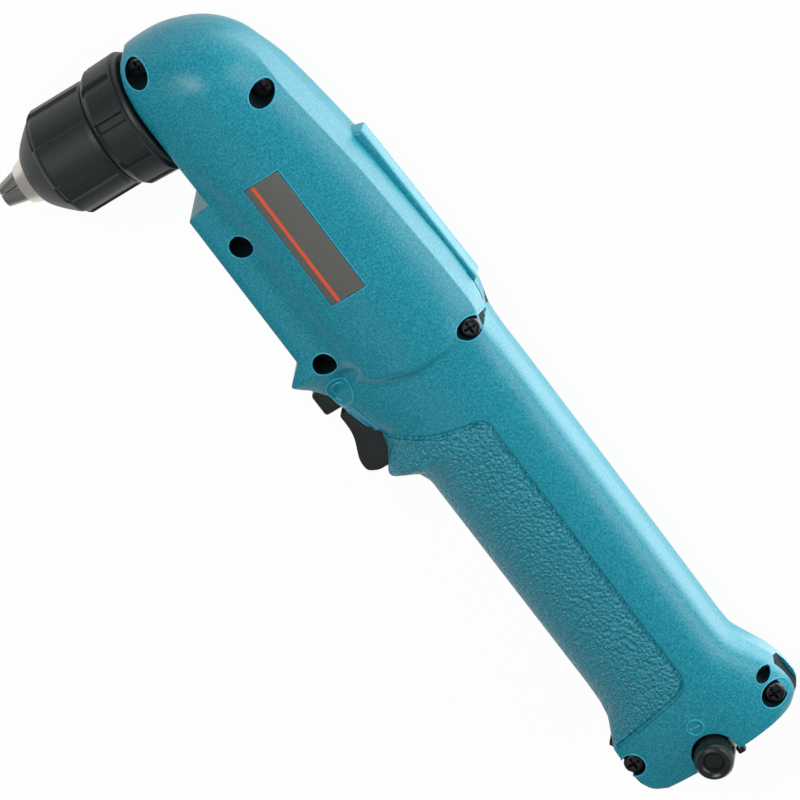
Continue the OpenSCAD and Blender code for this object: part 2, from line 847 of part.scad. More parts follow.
// Set plate that holds the battery in, with its two hubs, side arms, cross bar and front strip
module latch_plate() {
    tip_y = tail_y + 21;
    arm = [
        [bar_front, bar_y],
        [bar_back + 1, bar_y],
        [handle_x, hub_y - 3],
        [handle_x, hub_y + 3],
        [bar_back + 6, hub_y + 1.5],
        [bar_back + 1, bar_y + bar_t],
        [bar_front, bar_y + bar_t]
    ];
    strip = [
        [bar_back, bar_y],
        [bar_front, bar_y],
        [strip_x + 0.6, tail_y + 4.4],
        [strip_x - 1.2, tail_y + 10.5],
        [strip_x - 1.2, tip_y - 5],
        [strip_x - 3, tip_y - 1],
        [strip_x - 2.2, tip_y],
        [strip_x, tip_y - 4.6],
        [strip_x, tail_y + 11],
        [strip_x + 1.6, tail_y + 5.3],
        [bar_front + 0.4, bar_y + bar_t],
        [bar_back, bar_y + bar_t]
    ];
    color("#23282a")
        difference() {
            union() {
                translate([0, 0, -latch_strip_half])
                    linear_extrude(2 * latch_strip_half)
                        polygon(strip);
                block([bar_front, bar_y, -arm_out], [bar_back, bar_y + bar_t, arm_out]);
                block(
                    [bar_front + 0.3, bar_y, -battery_half_w + 1],
                    [bar_back, cap_end_y - seat, battery_half_w - 1]
                );
                for (side = [0, 1])
                    mirror([0, 0, side]) {
                        translate([0, 0, arm_in])
                            linear_extrude(latch_t)
                                polygon(arm);
                        post_z([handle_x, hub_y], arm_in, arm_out, ear_r);
                        post_z([handle_x, hub_y], arm_in, handle_half_w + 0.5, hub_base_r);
                        post_z([handle_x, hub_y], arm_in, hub_end, hub_r);
                    }
            }
            for (side = [0, 1])
                mirror([0, 0, side]) {
                    post_z([handle_x, hub_y], arm_in - 1, hub_end + 1, hub_pin_r + run);
                    post_z([handle_x, hub_y], hub_end - 2.5, hub_end + 1, 3);
                }
        }
}

module latch_pins() {
    color("silver")
        for (side = [0, 1])
            mirror([0, 0, side])
                post_z([handle_x, hub_y], lug_in, hub_end - 2.7, hub_pin_r);
}

module battery_case() {
    color("#3a3d40")
        difference() {
            prism_y(battery_end_y, battery_y)
                battery_outline(0);
            prism_y(battery_end_y - 1, battery_y - battery_wall)
                battery_outline(-battery_wall);
        }
}

module battery_cap() {
    color("#2d3033") {
        block(
            [cap_front, cap_end_y, -battery_half_w + 0.5],
            [battery_back - 1, battery_end_y, battery_half_w - 0.5]
        );
        prism_y(battery_end_y - 0.2, battery_end_y + battery_wall)
            battery_outline(-battery_wall);
    }
}

module battery_cells() {
    color("#7a8f5a")
        for (side = [-1, 1], i = [0 : cells_in_column - 1])
            translate([handle_x + side * cell_pitch / 2 - apex_x, 0, 0])
                rod_y(
                    battery_end_y + battery_wall + i * cell_len,
                    battery_end_y + battery_wall + (i + 1) * cell_len - 0.2,
                    cell_d / 2
                );
}

module battery_contacts() {
    color("goldenrod")
        for (side = [-1, 1])
            block(
                [handle_x + side * cell_pitch / 2 - 4, battery_y, -4],
                [handle_x + side * cell_pitch / 2 + 4, battery_y + contact_t, 4]
            );
}

module contact_base() {
    block(
        [battery_front + 1, block_y - block_t + 0.5, -battery_half_w],
        [battery_back - 1, block_y + 0.2, battery_half_w]
    );
}

module blade_pair() {
    for (side = [-1, 1])
        block(
            [handle_x + side * cell_pitch / 2 - blade_w / 2, battery_y + contact_t, -contact_t / 2],
            [handle_x + side * cell_pitch / 2 + blade_w / 2, switch_end_y - 1.8, contact_t / 2]
        );
}

module contact_block() {
    color("#4a4a4a")
        difference() {
            contact_base();
            blade_pair();
        }
}

module contact_blades() {
    color("goldenrod")
        blade_pair();
}

module motor_can() {
    color("silver")
        difference() {
            rod_y(motor_back_y, motor_y, motor_r);
            rod_y(motor_back_y - 1, motor_y - 1.5, motor_r - motor_wall);
            rod_y(motor_y - 3, motor_y + 1, motor_shaft_r + 1.5);
        }
}

module motor_magnets() {
    color("#3c3c3c")
        difference() {
            tube_y(armature_y - armature_len, armature_y, magnet_r, magnet_r - magnet_t);
            block(
                [apex_x - 4, armature_y - armature_len - 1, -motor_r],
                [apex_x + 4, armature_y + 1, motor_r]
            );
        }
}

module motor_end_cap() {
    color("#2b2b2b")
        difference() {
            union() {
                rod_y(motor_end_y, motor_back_y, motor_r);
                for (side = [0, 1])
                    mirror([0, 0, side])
                        block(
                            [apex_x - 4, motor_back_y - 1, commutator_r + 1],
                            [apex_x + 4, commutator_y, magnet_r - 1]
                        );
            }
            rod_y(motor_end_y + 1.5, motor_back_y + 1, motor_shaft_r + 3);
            rod_y(motor_end_y - 1, motor_back_y, motor_shaft_r + 1.5);
            brush_pair();
        }
}

module motor_bushes() {
    color("#b08d57") {
        tube_y(motor_y - 1.5, motor_y, motor_shaft_r + 1.5, motor_shaft_r + run);
        tube_y(motor_end_y, motor_end_y + 1.5, motor_shaft_r + 1.5, motor_shaft_r + run);
    }
}

module motor_terminals() {
    color("goldenrod")
        for (side = [-1, 1])
            block(
                [apex_x + side * 5 - 1.5, motor_end_y - 2, -contact_t / 2],
                [apex_x + side * 5 + 1.5, motor_end_y, contact_t / 2]
            );
}

// Two carbon brushes that bear on the commutator from the sides
module brush_pair() {
    mid_y = commutator_y - commutator_len / 2;
    for (side = [0, 1])
        mirror([0, 0, side])
            post_z([apex_x, mid_y], commutator_r + 0.1, magnet_r - 2, brush_r);
}

module brushes() {
    color("#3a3a3a")
        brush_pair();
}

module motor_shaft() {
    color("silver")
        rod_y(motor_end_y + 0.3, planet_y, motor_shaft_r);
}

module armature_core() {
    slots = 5;
    color("#8a8f94")
        translate([apex_x, 0, 0])
            difference() {
                translate([-apex_x, 0, 0])
                    tube_y(armature_y - armature_len, armature_y, armature_r, motor_shaft_r);
                for (i = [0 : slots - 1])
                    rotate([0, i * 360 / slots, 0])
                        block(
                            [armature_r * 0.6, armature_y - armature_len - 1, -1],
                            [armature_r + 1, armature_y + 1, 1]
                        );
            }
}

module armature_windings() {
    color("#b5622c") {
        tube_y(armature_y, armature_y + winding_len, armature_r - 2, motor_shaft_r + 1);
        tube_y(
            armature_y - armature_len - winding_len,
            armature_y - armature_len,
            armature_r - 2,
            motor_shaft_r + 1
        );
    }
}

module commutator() {
    color("#c98850")
        tube_y(commutator_y - commutator_len, commutator_y, commutator_r, motor_shaft_r);
}

module sun_gear() {
    color("silver")
        difference() {
            translate([apex_x, 0, 0])
                spur_y(sun_teeth, planet_end_y - 0.5, planet_y, 0);
            rod_y(planet_end_y - 1, planet_y + 1, motor_shaft_r);
        }
}

module ring_gear() {
    inner_root = planet_module * (ring_teeth / 2 + 1.2);
    inner_tip = planet_module * (ring_teeth / 2 - 0.85);
    color("#9a9a94")
        difference() {
            rod_y(planet_end_y - 0.8, planet_y + 0.2, ring_gear_r);
            translate([apex_x, planet_end_y - 2, 0])
                rotate([-90, 0, 0])
                    linear_extrude(planet_w + 4)
                        polygon(toothed(ring_teeth, inner_root, inner_tip, 0));
        }
}

module planet_gear(turn) {
    color("silver")
        translate([apex_x, 0, 0])
            rotate([0, turn, 0])
                translate([planet_orbit_r, 0, 0])
                    difference() {
                        spur_y(planet_teeth, planet_end_y, planet_y, 180 / planet_teeth);
                        translate([-apex_x, 0, 0])
                            rod_y(planet_end_y - 1, planet_y + 1, planet_pin_r + run);
                    }
}

module planet_gear_1() {
    planet_gear(0);
}

module planet_gear_2() {
    planet_gear(120);
}

module planet_gear_3() {
    planet_gear(240);
}

module pin_ring() {
    for (turn = [0, 120, 240])
        translate([apex_x, 0, 0])
            rotate([0, turn, 0])
                translate([planet_orbit_r - apex_x, 0, 0])
                    rod_y(planet_end_y - 0.3, carrier_y - 1, planet_pin_r);
}

module planet_pins() {
    color("gainsboro")
        pin_ring();
}

module planet_carrier() {
    color("#8d9196")
        difference() {
            union() {
                rod_y(carrier_y - carrier_t, carrier_y, carrier_r);
                rod_y(carrier_y - 1, pinion_back_y - 0.2, output_shaft_r);
                rod_y(carrier_y - 1, -toe * gear_r, pinion_bore_r);
            }
            pin_ring();
        }
}

module pinion_bearing() {
    color("#b0b4b8")
        tube_y(
            pinion_bearing_y - pinion_bearing_w,
            pinion_bearing_y,
            pinion_bearing_r,
            output_shaft_r + run
        );
}

module bevel_pinion() {
    color("silver")
        translate([apex_x, 0, 0])
            difference() {
                rotate([-90, 0, 0])
                    bevel_ring(bevel_pinion_teeth, pinion_r, gear_r, pinion_back, pinion_bore_r - 0.5, 0);
                translate([-apex_x, 0, 0])
                    rod_y(pinion_back_y - 1, 0, pinion_bore_r);
            }
}

module bevel_gear() {
    half_pitch = 180 / bevel_gear_teeth;
    color("silver")
        difference() {
            union() {
                translate([apex_x, 0, 0])
                    rotate([0, 90, 0])
                        bevel_ring(
                            bevel_gear_teeth,
                            gear_r,
                            pinion_r,
                            gear_back_len,
                            bore_r - 1,
                            270 + half_pitch
                        );
                rod_x(bearing_end_x + 0.3, gear_x - gear_back_len + 0.5, bore_r + 3);
            }
            rod_x(bearing_end_x - 1, apex_x, bore_r);
        }
}

// Cast case: a drum round the bevel gear, a barrel round the planetary stage and a boss for the rear bush
module gear_case() {
    cavity_end = apex_x - toe * (pinion_r - tooth_top * bevel_module) + clear;
    drum_end = cavity_end + drum_wall;
    color("#a8acae")
        difference() {
            union() {
                rod_x(head_x + 0.3, bearing_x + 1, bearing_r + 3);
                rod_x(bearing_x, drum_end, case_r);
                rod_x(drum_end - 1, rear_bush_x + rear_bush_len, spindle_rear_r + rear_bush_wall + 2);
                rod_y(motor_y, planet_y + 1.8, barrel_r);
                rod_y(motor_y, barrel_top, carrier_r + 0.6 + barrel_wall);
            }
            rod_x(head_x - 1, bearing_end_x, bearing_r);
            rod_x(bearing_end_x - 1, bearing_end_x + 2, bearing_r - race_t);
            rod_x(bearing_end_x + 0.1, cavity_end, gear_cavity_r);
            rod_x(gear_x, rear_bush_x, spindle_rear_r + 1);
            rod_x(rear_bush_x - 1, spindle_end_x + 2, spindle_rear_r + rear_bush_wall);
            rod_y(pinion_bearing_y - 0.1, 0, pinion_bearing_r - 0.6);
            rod_y(carrier_y - 0.1, pinion_bearing_y, pinion_bearing_r);
            rod_y(planet_y, carrier_y + 0.4, carrier_r + 0.6);
            rod_y(motor_y - 1, planet_y + 0.2, ring_gear_r);
            for (spot = [screw_spots[0], screw_spots[1]])
                post_z(spot, -head_r, head_r, boss_r + clear);
        }
}

module front_bearing_outer() {
    color("gainsboro")
        tube_x(bearing_x, bearing_end_x, bearing_r, bearing_r - race_t);
}

module front_bearing_inner() {
    color("gainsboro")
        tube_x(bearing_x, bearing_end_x, bore_r + race_t, bore_r);
}

module front_bearing_balls() {
    gap = bearing_r - bore_r - 2 * race_t;
    color("white")
        for (i = [0 : ball_count - 1])
            rotate([i * 360 / ball_count, 0, 0])
                translate([bearing_x + bearing_w / 2, (bearing_r + bore_r) / 2, 0])
                    sphere(gap / 2 - 0.1);
}

module retaining_ring() {
    color("#50555a")
        tube_x(bearing_x - 1, bearing_x, bearing_r, bearing_r - 1.3);
}

module dust_seal() {
    color("#8a7f6a")
        tube_x(head_x + 0.5, bearing_x - 1, bearing_r, spindle_flange_r + run);
}

module rear_bush() {
    color("#b08d57")
        tube_x(
            rear_bush_x,
            rear_bush_x + rear_bush_len,
            spindle_rear_r + rear_bush_wall,
            spindle_rear_r + run
        );
}

module spindle() {
    color("silver")
        difference() {
            union() {
                rod_x(socket_x, chuck_len + 0.5, spindle_thread_r);
                rod_x(chuck_len, bearing_x, spindle_flange_r);
                rod_x(bearing_x - 0.5, gear_x + 1, bore_r);
                rod_x(gear_x, spindle_end_x, spindle_rear_r);
            }
            rod_x(socket_x - 1, socket_x + chuck_screw_depth, chuck_screw_r);
        }
}

module chuck_screw() {
    head_end = socket_x - chuck_web;
    color("#505050")
        difference() {
            union() {
                rod_x(head_end - chuck_screw_head_h, head_end, chuck_screw_head_r);
                rod_x(head_end - 0.5, socket_x + chuck_screw_depth - 1, chuck_screw_r);
            }
            translate([head_end - chuck_screw_head_h, 0, 0])
                cube([2, chuck_screw_head_r * 1.2, 1], center = true);
        }
}

// A round bar along one jaw's slanted axis
module jaw_rod(from, to, r) {
    translate([0, jaw_offset, 0])
        rotate([0, 0, jaw_tilt])
            rod_x(from, to, r);
}

// Steel core of the chuck, with the three slanted jaw bores, the nut groove and the spindle socket
module chuck_body() {
    nut_end = nut_x + nut_len;
    color("#c9c3b4")
        difference() {
            turned_x([
                [jaw_reach, 0],
                [jaw_reach, nose_front_r],
                [sleeve_x, nose_r],
                [sleeve_x + 1.6, nose_r],
                [sleeve_x + 6, shoulder_r],
                [nut_x - seat, shoulder_r],
                [nut_x - seat, nut_core_r],
                [nut_end + seat, nut_core_r],
                [nut_end + seat, chuck_body_r],
                [chuck_len, chuck_body_r],
                [chuck_len, 0]
            ]);
            rod_x(jaw_reach - 1, socket_x - chuck_web, chuck_bore_r);
            rod_x(socket_x - chuck_web - 1, socket_x + 1, chuck_screw_r);
            rod_x(socket_x, chuck_len + 1, spindle_thread_r);
            for (turn = [0, 120, 240])
                rotate([turn, 0, 0])
                    jaw_rod(0, jaw_len / cos(jaw_tilt) + jaw_travel + 0.5, jaw_r + run);
        }
}

module grip_bars_x(from, to, base_r) {
    intersection() {
        tube_x(from, to, base_r + grip_bar_h, base_r - 0.6);
        for (i = [0 : grip_bars - 1])
            rotate([i * 360 / grip_bars, 0, 0])
                block([from - 1, 0, -grip_bar_w / 2], [to + 1, base_r + 3, grip_bar_w / 2]);
    }
}

module chuck_rear_ring() {
    chamfer_r = sleeve_r + 0.4;
    color("#23282a") {
        turned_x([
            [ring_x, sleeve_inner_r + 0.6],
            [ring_x, chamfer_r],
            [ring_x + ring_chamfer, ring_r - ring_taper],
            [chuck_len - 0.8, ring_r],
            [chuck_len, ring_r - 0.6],
            [chuck_len, chuck_body_r],
            [ring_x + ring_cup_len, chuck_body_r],
            [ring_x + ring_cup_len, sleeve_inner_r + 0.6]
        ]);
        grip_bars_x(ring_x + ring_chamfer + 0.6, chuck_len - 1.4, ring_r - ring_taper);
    }
}

module chuck_sleeve() {
    round_r = sleeve_r - 0.65 - sleeve_mouth_r;
    color("#23282a") {
        turned_x(concat(
            [
                for (t = [0 : 0.2 : 1])
                    [sleeve_x + sleeve_round * t, sleeve_mouth_r + round_r * pow(t, 0.8)]
            ],
            [
                [sleeve_end_x - 1, sleeve_r],
                [sleeve_end_x, sleeve_r - 0.8],
                [sleeve_end_x, sleeve_inner_r],
                [nut_x - 0.2, sleeve_inner_r],
                [nut_x - 0.2, shoulder_r + clear],
                [sleeve_x + 6 - 0.3, shoulder_r + clear],
                [sleeve_x + 1.4, nose_r + 2 * run],
                [sleeve_x, nose_r + 2 * run]
            ]
        ));
        grip_bars_x(nut_x, sleeve_end_x - 2.2, sleeve_r - 0.4);
    }
}

// Nut that drives the jaws, with an inner cone that lies along them
module chuck_nut() {
    nut_end = nut_x + nut_len;
    slope = tan(jaw_tilt);
    skin = jaw_offset + jaw_r / cos(jaw_tilt) + seat;
    color("#70757a")
        turned_x([
            [nut_x, nut_x * slope + skin],
            [nut_x, sleeve_inner_r],
            [nut_end, sleeve_inner_r],
            [nut_end, nut_end * slope + skin]
        ]);
}

// One jaw at rest: a slanted round bar, cut to its third of the turn and grooved for the shank
module jaw(turn) {
    reach = 40;
    half_side = reach * sin(60);
    color("#b9b4a8")
        rotate([turn, 0, 0])
            difference() {
                intersection() {
                    jaw_rod(-3, jaw_len / cos(jaw_tilt), jaw_r);
                    translate([0, jaw_gap / sin(60), 0])
                        rotate([90, 0, 90])
                            linear_extrude(reach)
                                polygon([[0, 0], [reach / 2, half_side], [reach / 2, -half_side]]);
                }
                rod_x(-1, reach, grip_r);
            }
}

module jaw_1() {
    jaw(0);
}

module jaw_2() {
    jaw(120);
}

module jaw_3() {
    jaw(240);
}

left_housing();
right_housing();
housing_screws();
name_plate();
trigger();
trigger_spring();
reversing_lever();
switch_body();
switch_terminals();
lead_wires();
latch_plate();
latch_pins();
battery_case();
battery_cap();
battery_cells();
battery_contacts();
contact_block();
contact_blades();
motor_can();
motor_magnets();
motor_end_cap();
motor_bushes();
motor_terminals();
brushes();
motor_shaft();
armature_core();
armature_windings();
commutator();
sun_gear();
ring_gear();
planet_gear_1();
planet_gear_2();
planet_gear_3();
planet_pins();
planet_carrier();
pinion_bearing();
bevel_pinion();
gear_case();
front_bearing_outer();
front_bearing_balls();
front_bearing_inner();
retaining_ring();
dust_seal();
rear_bush();
spindle();
bevel_gear();
chuck_body();
chuck_rear_ring();
chuck_sleeve();
chuck_nut();
jaw_1();
jaw_2();
jaw_3();
chuck_screw();
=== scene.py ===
import json
import math

import bpy
from mathutils import Matrix, Vector


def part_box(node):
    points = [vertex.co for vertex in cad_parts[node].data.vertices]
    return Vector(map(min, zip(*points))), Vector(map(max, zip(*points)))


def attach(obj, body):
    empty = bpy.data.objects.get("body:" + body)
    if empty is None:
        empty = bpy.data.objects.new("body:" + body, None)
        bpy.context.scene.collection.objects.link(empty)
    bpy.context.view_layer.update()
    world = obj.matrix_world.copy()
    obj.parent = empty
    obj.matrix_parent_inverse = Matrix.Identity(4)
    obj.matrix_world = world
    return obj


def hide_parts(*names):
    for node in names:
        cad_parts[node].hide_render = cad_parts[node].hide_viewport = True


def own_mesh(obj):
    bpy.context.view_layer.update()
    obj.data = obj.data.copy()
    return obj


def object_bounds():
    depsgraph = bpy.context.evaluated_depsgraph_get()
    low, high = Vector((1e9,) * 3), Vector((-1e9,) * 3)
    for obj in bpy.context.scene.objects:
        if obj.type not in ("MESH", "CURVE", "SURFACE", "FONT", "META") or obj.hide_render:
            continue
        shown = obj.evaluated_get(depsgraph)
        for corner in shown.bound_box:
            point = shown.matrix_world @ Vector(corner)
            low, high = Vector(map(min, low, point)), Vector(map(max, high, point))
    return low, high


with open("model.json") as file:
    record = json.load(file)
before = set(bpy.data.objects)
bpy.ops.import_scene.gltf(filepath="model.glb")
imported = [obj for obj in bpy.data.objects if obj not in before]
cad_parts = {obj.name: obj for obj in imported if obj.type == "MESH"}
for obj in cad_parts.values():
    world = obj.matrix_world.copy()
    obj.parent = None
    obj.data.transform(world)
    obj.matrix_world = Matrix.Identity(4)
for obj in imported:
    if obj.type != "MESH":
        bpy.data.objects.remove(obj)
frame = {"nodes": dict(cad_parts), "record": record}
cad_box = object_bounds()
bpy.ops.object.select_all(action="DESELECT")

# Camera: a long lens well back from the tool, which lies on its right side.
# It looks down on the name plate side, with the head at the upper left of the picture.
mm = 0.001
field_w = 260 * mm
camera_far = 9000 * mm
camera_clip = 20
view_centre = Vector((64.9, -130.2, 0)) * mm
view_right = Vector((0.812, -0.577, -0.085)).normalized()
view_up = Vector((0.488, 0.752, -0.444)).normalized()
view_back = view_right.cross(view_up)
camera_turn = Matrix((view_right, view_up, view_back)).transposed().to_euler()
bpy.ops.object.camera_add(location=view_centre + view_back * camera_far, rotation=camera_turn)
camera = bpy.context.object
camera.data.lens = camera.data.sensor_width * camera_far / field_w
camera.data.clip_end = camera_clip
bpy.context.scene.camera = camera
bpy.context.scene.view_settings.view_transform = "Standard"

# Housing: two moulded halves of glass-filled nylon that meet at the parting plane.
# Each half is a hollow shell with a domed head, a flat back, a motor bulge and a long grip,
# and the left half carries the deep counterbores of the screws that hold the two together.


def corners_mm(node):
    return [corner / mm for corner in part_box(node)]


shell_low, shell_high = corners_mm("left_housing")
motor_low, motor_high = corners_mm("motor_can")
switch_low, switch_high = corners_mm("switch_body")
plate_low, plate_high = corners_mm("name_plate")
battery_low, battery_high = corners_mm("battery_case")
hub_low, hub_high = corners_mm("latch_pins")

wall = 2.5
head_r = shell_high.z
face_x = corners_mm("gear_case")[0].x + 0.4
dome_x = face_x + 10.8
dome_depth = 33
dome_drop = 8
top_y = head_r - 0.8
ledge_y = motor_high.y + 2
motor_x = (motor_low.x + motor_high.x) / 2
motor_r = (motor_high.x - motor_low.x) / 2
body_front = motor_x - motor_r - 16.5
body_back = motor_x + motor_r + 7
body_half = plate_high.z
guard_x = shell_low.x
guard_y = switch_high.y + 0.8
slot_end_y = switch_low.y
switch_x = switch_low.x
handle_x = (battery_low.x + battery_high.x) / 2
handle_front = battery_low.x - 4.7
handle_back = battery_high.x + 4.7
handle_half = 19
tail_y = shell_low.y
tail_front = handle_front - 4.3
tail_back = shell_high.x
tail_flare_y = tail_y + 46
front_power = 2.5
shoulder_len = 12
bulge_start_y = motor_low.y + 3
bulge_step = 4.5
bulge_fade_len = 40
bulge_front_x = 58
bulge_back_x = 97
chest_x = 55
nose_edge = 0.12
nose_len = 10
nose_corner = 0.3
nose_lip = 0.4
nose_end = 0.965

front_line = [
    (top_y, face_x + 5),
    (top_y - 1.5, face_x + 2.4),
    (top_y - 4, face_x + 0.9),
    (top_y - 8, face_x),
    (ledge_y + 0.2, face_x),
    (ledge_y - 0.2, body_front - 0.3),
    (guard_y + 9.5, body_front - 0.3),
    (guard_y + 3.4, guard_x - 1.3),
    (guard_y + 2.2, guard_x - 0.8),
    (guard_y - 1.6, guard_x + 2.2),
    (guard_y - 7.8, switch_x - 12.5),
    (slot_end_y + 15, switch_x - 8),
    (slot_end_y + 11, switch_x - 5.5),
    (slot_end_y + 5, switch_x - 7.2),
    (slot_end_y - 2, switch_x - 12),
    (slot_end_y - 3.8, switch_x - 12),
    (slot_end_y - 7.4, switch_x - 4.6),
    (slot_end_y - 12, handle_front - 0.3),
    (tail_y + 44, handle_front),
    (tail_y + 36, handle_front - 0.3),
    (tail_y + 30, handle_front - 1),
    (tail_y + 25, tail_front + 1.4),
    (tail_y + 21, tail_front),
    (tail_y + 11, tail_front),
    (tail_y + 6.5, tail_front + 0.4),
    (tail_y + 3, tail_front + 2),
    (tail_y + 1.2, tail_front + 4),
    (tail_y, tail_front + 7),
]
back_line = [
    (0, dome_x + dome_depth * 0.967),
    (-12, body_back - 6.3),
    (-24, body_back - 4.8),
    (ledge_y, body_back - 3.6),
    (motor_high.y - 16, body_back - 1.8),
    (motor_low.y, body_back),
    (guard_y - 7, body_back),
    (guard_y - 11.5, body_back - 2),
    (guard_y - 17, handle_back + 0.6),
    (slot_end_y - 2, handle_back + 0.4),
    (tail_y + 80, handle_back),
    (tail_y + 36, handle_back - 0.4),
    (tail_y + 30, handle_back),
    (tail_y + 25, handle_back + 2.4),
    (tail_y + 21, handle_back + 4.6),
    (tail_y + 17, handle_back + 6.4),
    (tail_y + 11, tail_back - 0.3),
    (tail_y + 6.5, tail_back),
    (tail_y + 3, tail_back - 0.8),
    (tail_y + 1.2, tail_back - 2.4),
    (tail_y, tail_back - 4.8),
]
handle_half_line = [
    (bulge_start_y, body_half - 1.8),
    (guard_y, handle_half + 1.4),
    (guard_y - 13, handle_half + 0.5),
    (guard_y - 24, handle_half),
    (tail_y + 44, handle_half),
    (tail_y + 17, handle_half - 0.5),
    (tail_y + 6.5, handle_half - 1),
    (tail_y + 3, handle_half - 1.2),
    (tail_y + 1.2, handle_half - 1.4),
    (tail_y, handle_half - 1.8),
]
back_flat_line = [
    (0, 0.3),
    (-12, 0.5),
    (-24, 0.52),
    (motor_high.y - 16, 0.52),
    (motor_low.y, 0.5),
    (guard_y - 7, 0.52),
    (guard_y - 24, 0.5),
    (tail_y + 36, 0.48),
    (tail_y + 25, 0.42),
    (tail_y + 17, 0.36),
    (tail_y, 0.36),
]
front_flat_line = [
    (head_r, 0.7),
    (8, 0.77),
    (-16, 0.77),
    (ledge_y, 0.735),
    (guard_y, 0.74),
    (guard_y - 8, 0.5),
    (slot_end_y + 5, 0.5),
    (slot_end_y, 0.58),
    (slot_end_y - 14, 0.42),
    (tail_y + 36, 0.44),
    (tail_y + 30, 0.52),
    (tail_y + 25, 0.66),
    (tail_y + 21, 0.8),
    (tail_y + 11, 0.86),
    (tail_y, 0.86),
]
crown_line = [(head_r, 0.2), (0, 1.2), (-14, 1.5), (motor_low.y, 1.5), (slot_end_y, 0.6), (tail_y, 0.6)]
back_power_line = [(head_r, 2), (0, 1.8), (motor_low.y, 1.8), (slot_end_y, 2.3), (tail_y, 2.4)]
back_round_line = [
    (head_r, 0.5),
    (guard_y, 0.5),
    (slot_end_y, 6),
    (tail_y + 36, 5),
    (tail_y + 20, 2),
    (tail_y, 2),
]
front_round_line = [
    (head_r, 1.6),
    (ledge_y + 1, 1),
    (ledge_y, 0.1),
    (guard_y, 0.1),
    (guard_y - 8, 1.6),
    (slot_end_y, 1.2),
    (slot_end_y - 12, 3),
    (tail_y + 30, 3),
    (tail_y + 20, 1),
    (tail_y, 1),
]
bulge_edge_line = [
    (-48, -95),
    (-57.7, -101.5),
    (-63, -108),
    (-70, -113.5),
    (-83, -117.5),
    (-96, -117.5),
    (-104, -116.6),
    (-112, -116),
]


def along(line, y):
    if y >= line[0][0]:
        return line[0][1]
    for (y1, v1), (y2, v2) in zip(line, line[1:]):
        if y >= y2:
            return v1 + (v2 - v1) * (y1 - y) / (y1 - y2)
    return line[-1][1]


blur_weights = (1, 2, 3, 4, 3, 2, 1)
blur_sum = sum(blur_weights)
front_blur = 0.9
back_blur = 5
tail_blur = 1.5


def softened(value_at, y, reach):
    total = sum(w * value_at(y + reach * (i - 3) / 3) for i, w in enumerate(blur_weights))
    return total / blur_sum


def front_at(y):
    return softened(lambda v: along(front_line, v), y, front_blur)


def back_raw(y):
    if y > 0:
        rise = min((y + dome_drop) / (top_y + dome_drop), 1)
        return dome_x + dome_depth * math.sqrt(1 - rise * rise)
    return along(back_line, y)


def back_at(y):
    reach = back_blur if y > tail_flare_y else tail_blur
    return softened(back_raw, y, min(reach, max(top_y - y, 0)))


def back_flat_at(y):
    if y > 0:
        return 0.1 + 0.2 * math.sqrt(max(1 - (y / top_y) ** 2, 0))
    return softened(lambda v: along(back_flat_line, v), y, min(4, -y))


def smooth_step(t):
    t = min(max(t, 0), 1)
    return t * t * (3 - 2 * t)


def half_at(x, y):
    if y > 0:
        return head_r * math.sqrt(max(1 - (y / top_y) ** 2, 0))
    motor_half = head_r + (body_half - head_r) * smooth_step(-y / shoulder_len)
    if y > bulge_start_y:
        return motor_half
    low_half = softened(lambda v: along(handle_half_line, v), y, 2)
    edge_y = softened(lambda v: along(bulge_edge_line, v), -x, 3)
    crisp = smooth_step((y - edge_y) / bulge_step + 0.5)
    wide = smooth_step((y - motor_low.y + bulge_fade_len) / bulge_fade_len)
    to_back = smooth_step((x - bulge_back_x) / 9)
    to_front = smooth_step((bulge_front_x - x) / 7)
    fade = max(to_back, to_front)
    keep = crisp + (wide - crisp) * fade
    start = smooth_step((bulge_start_y - y) / 6)
    keep = 1 + (keep - 1) * start
    return low_half + (motor_half - low_half) * keep


def raw_section(front, back, back_flat, front_flat, back_power):
    mid = (front + back) / 2
    back_turn = math.asin(back_flat ** (back_power / 2))
    front_turn = math.asin(front_flat ** (front_power / 2))
    back_axis = (back - mid) / math.cos(back_turn) ** (2 / back_power)
    front_axis = (mid - front) / math.cos(front_turn) ** (2 / front_power)
    steps = 28
    points = [(back, 0)]
    for i in range(steps):
        turn = back_turn + (math.pi / 2 - back_turn) * i / steps
        side = math.cos(turn) ** (2 / back_power)
        points.append((mid + back_axis * side, math.sin(turn) ** (2 / back_power)))
    for i in range(steps, -1, -1):
        turn = front_turn + (math.pi / 2 - front_turn) * i / steps
        side = max(math.cos(turn), 0) ** (2 / front_power)
        points.append((mid - front_axis * side, math.sin(turn) ** (2 / front_power)))
    points.append((front, 0))
    return points


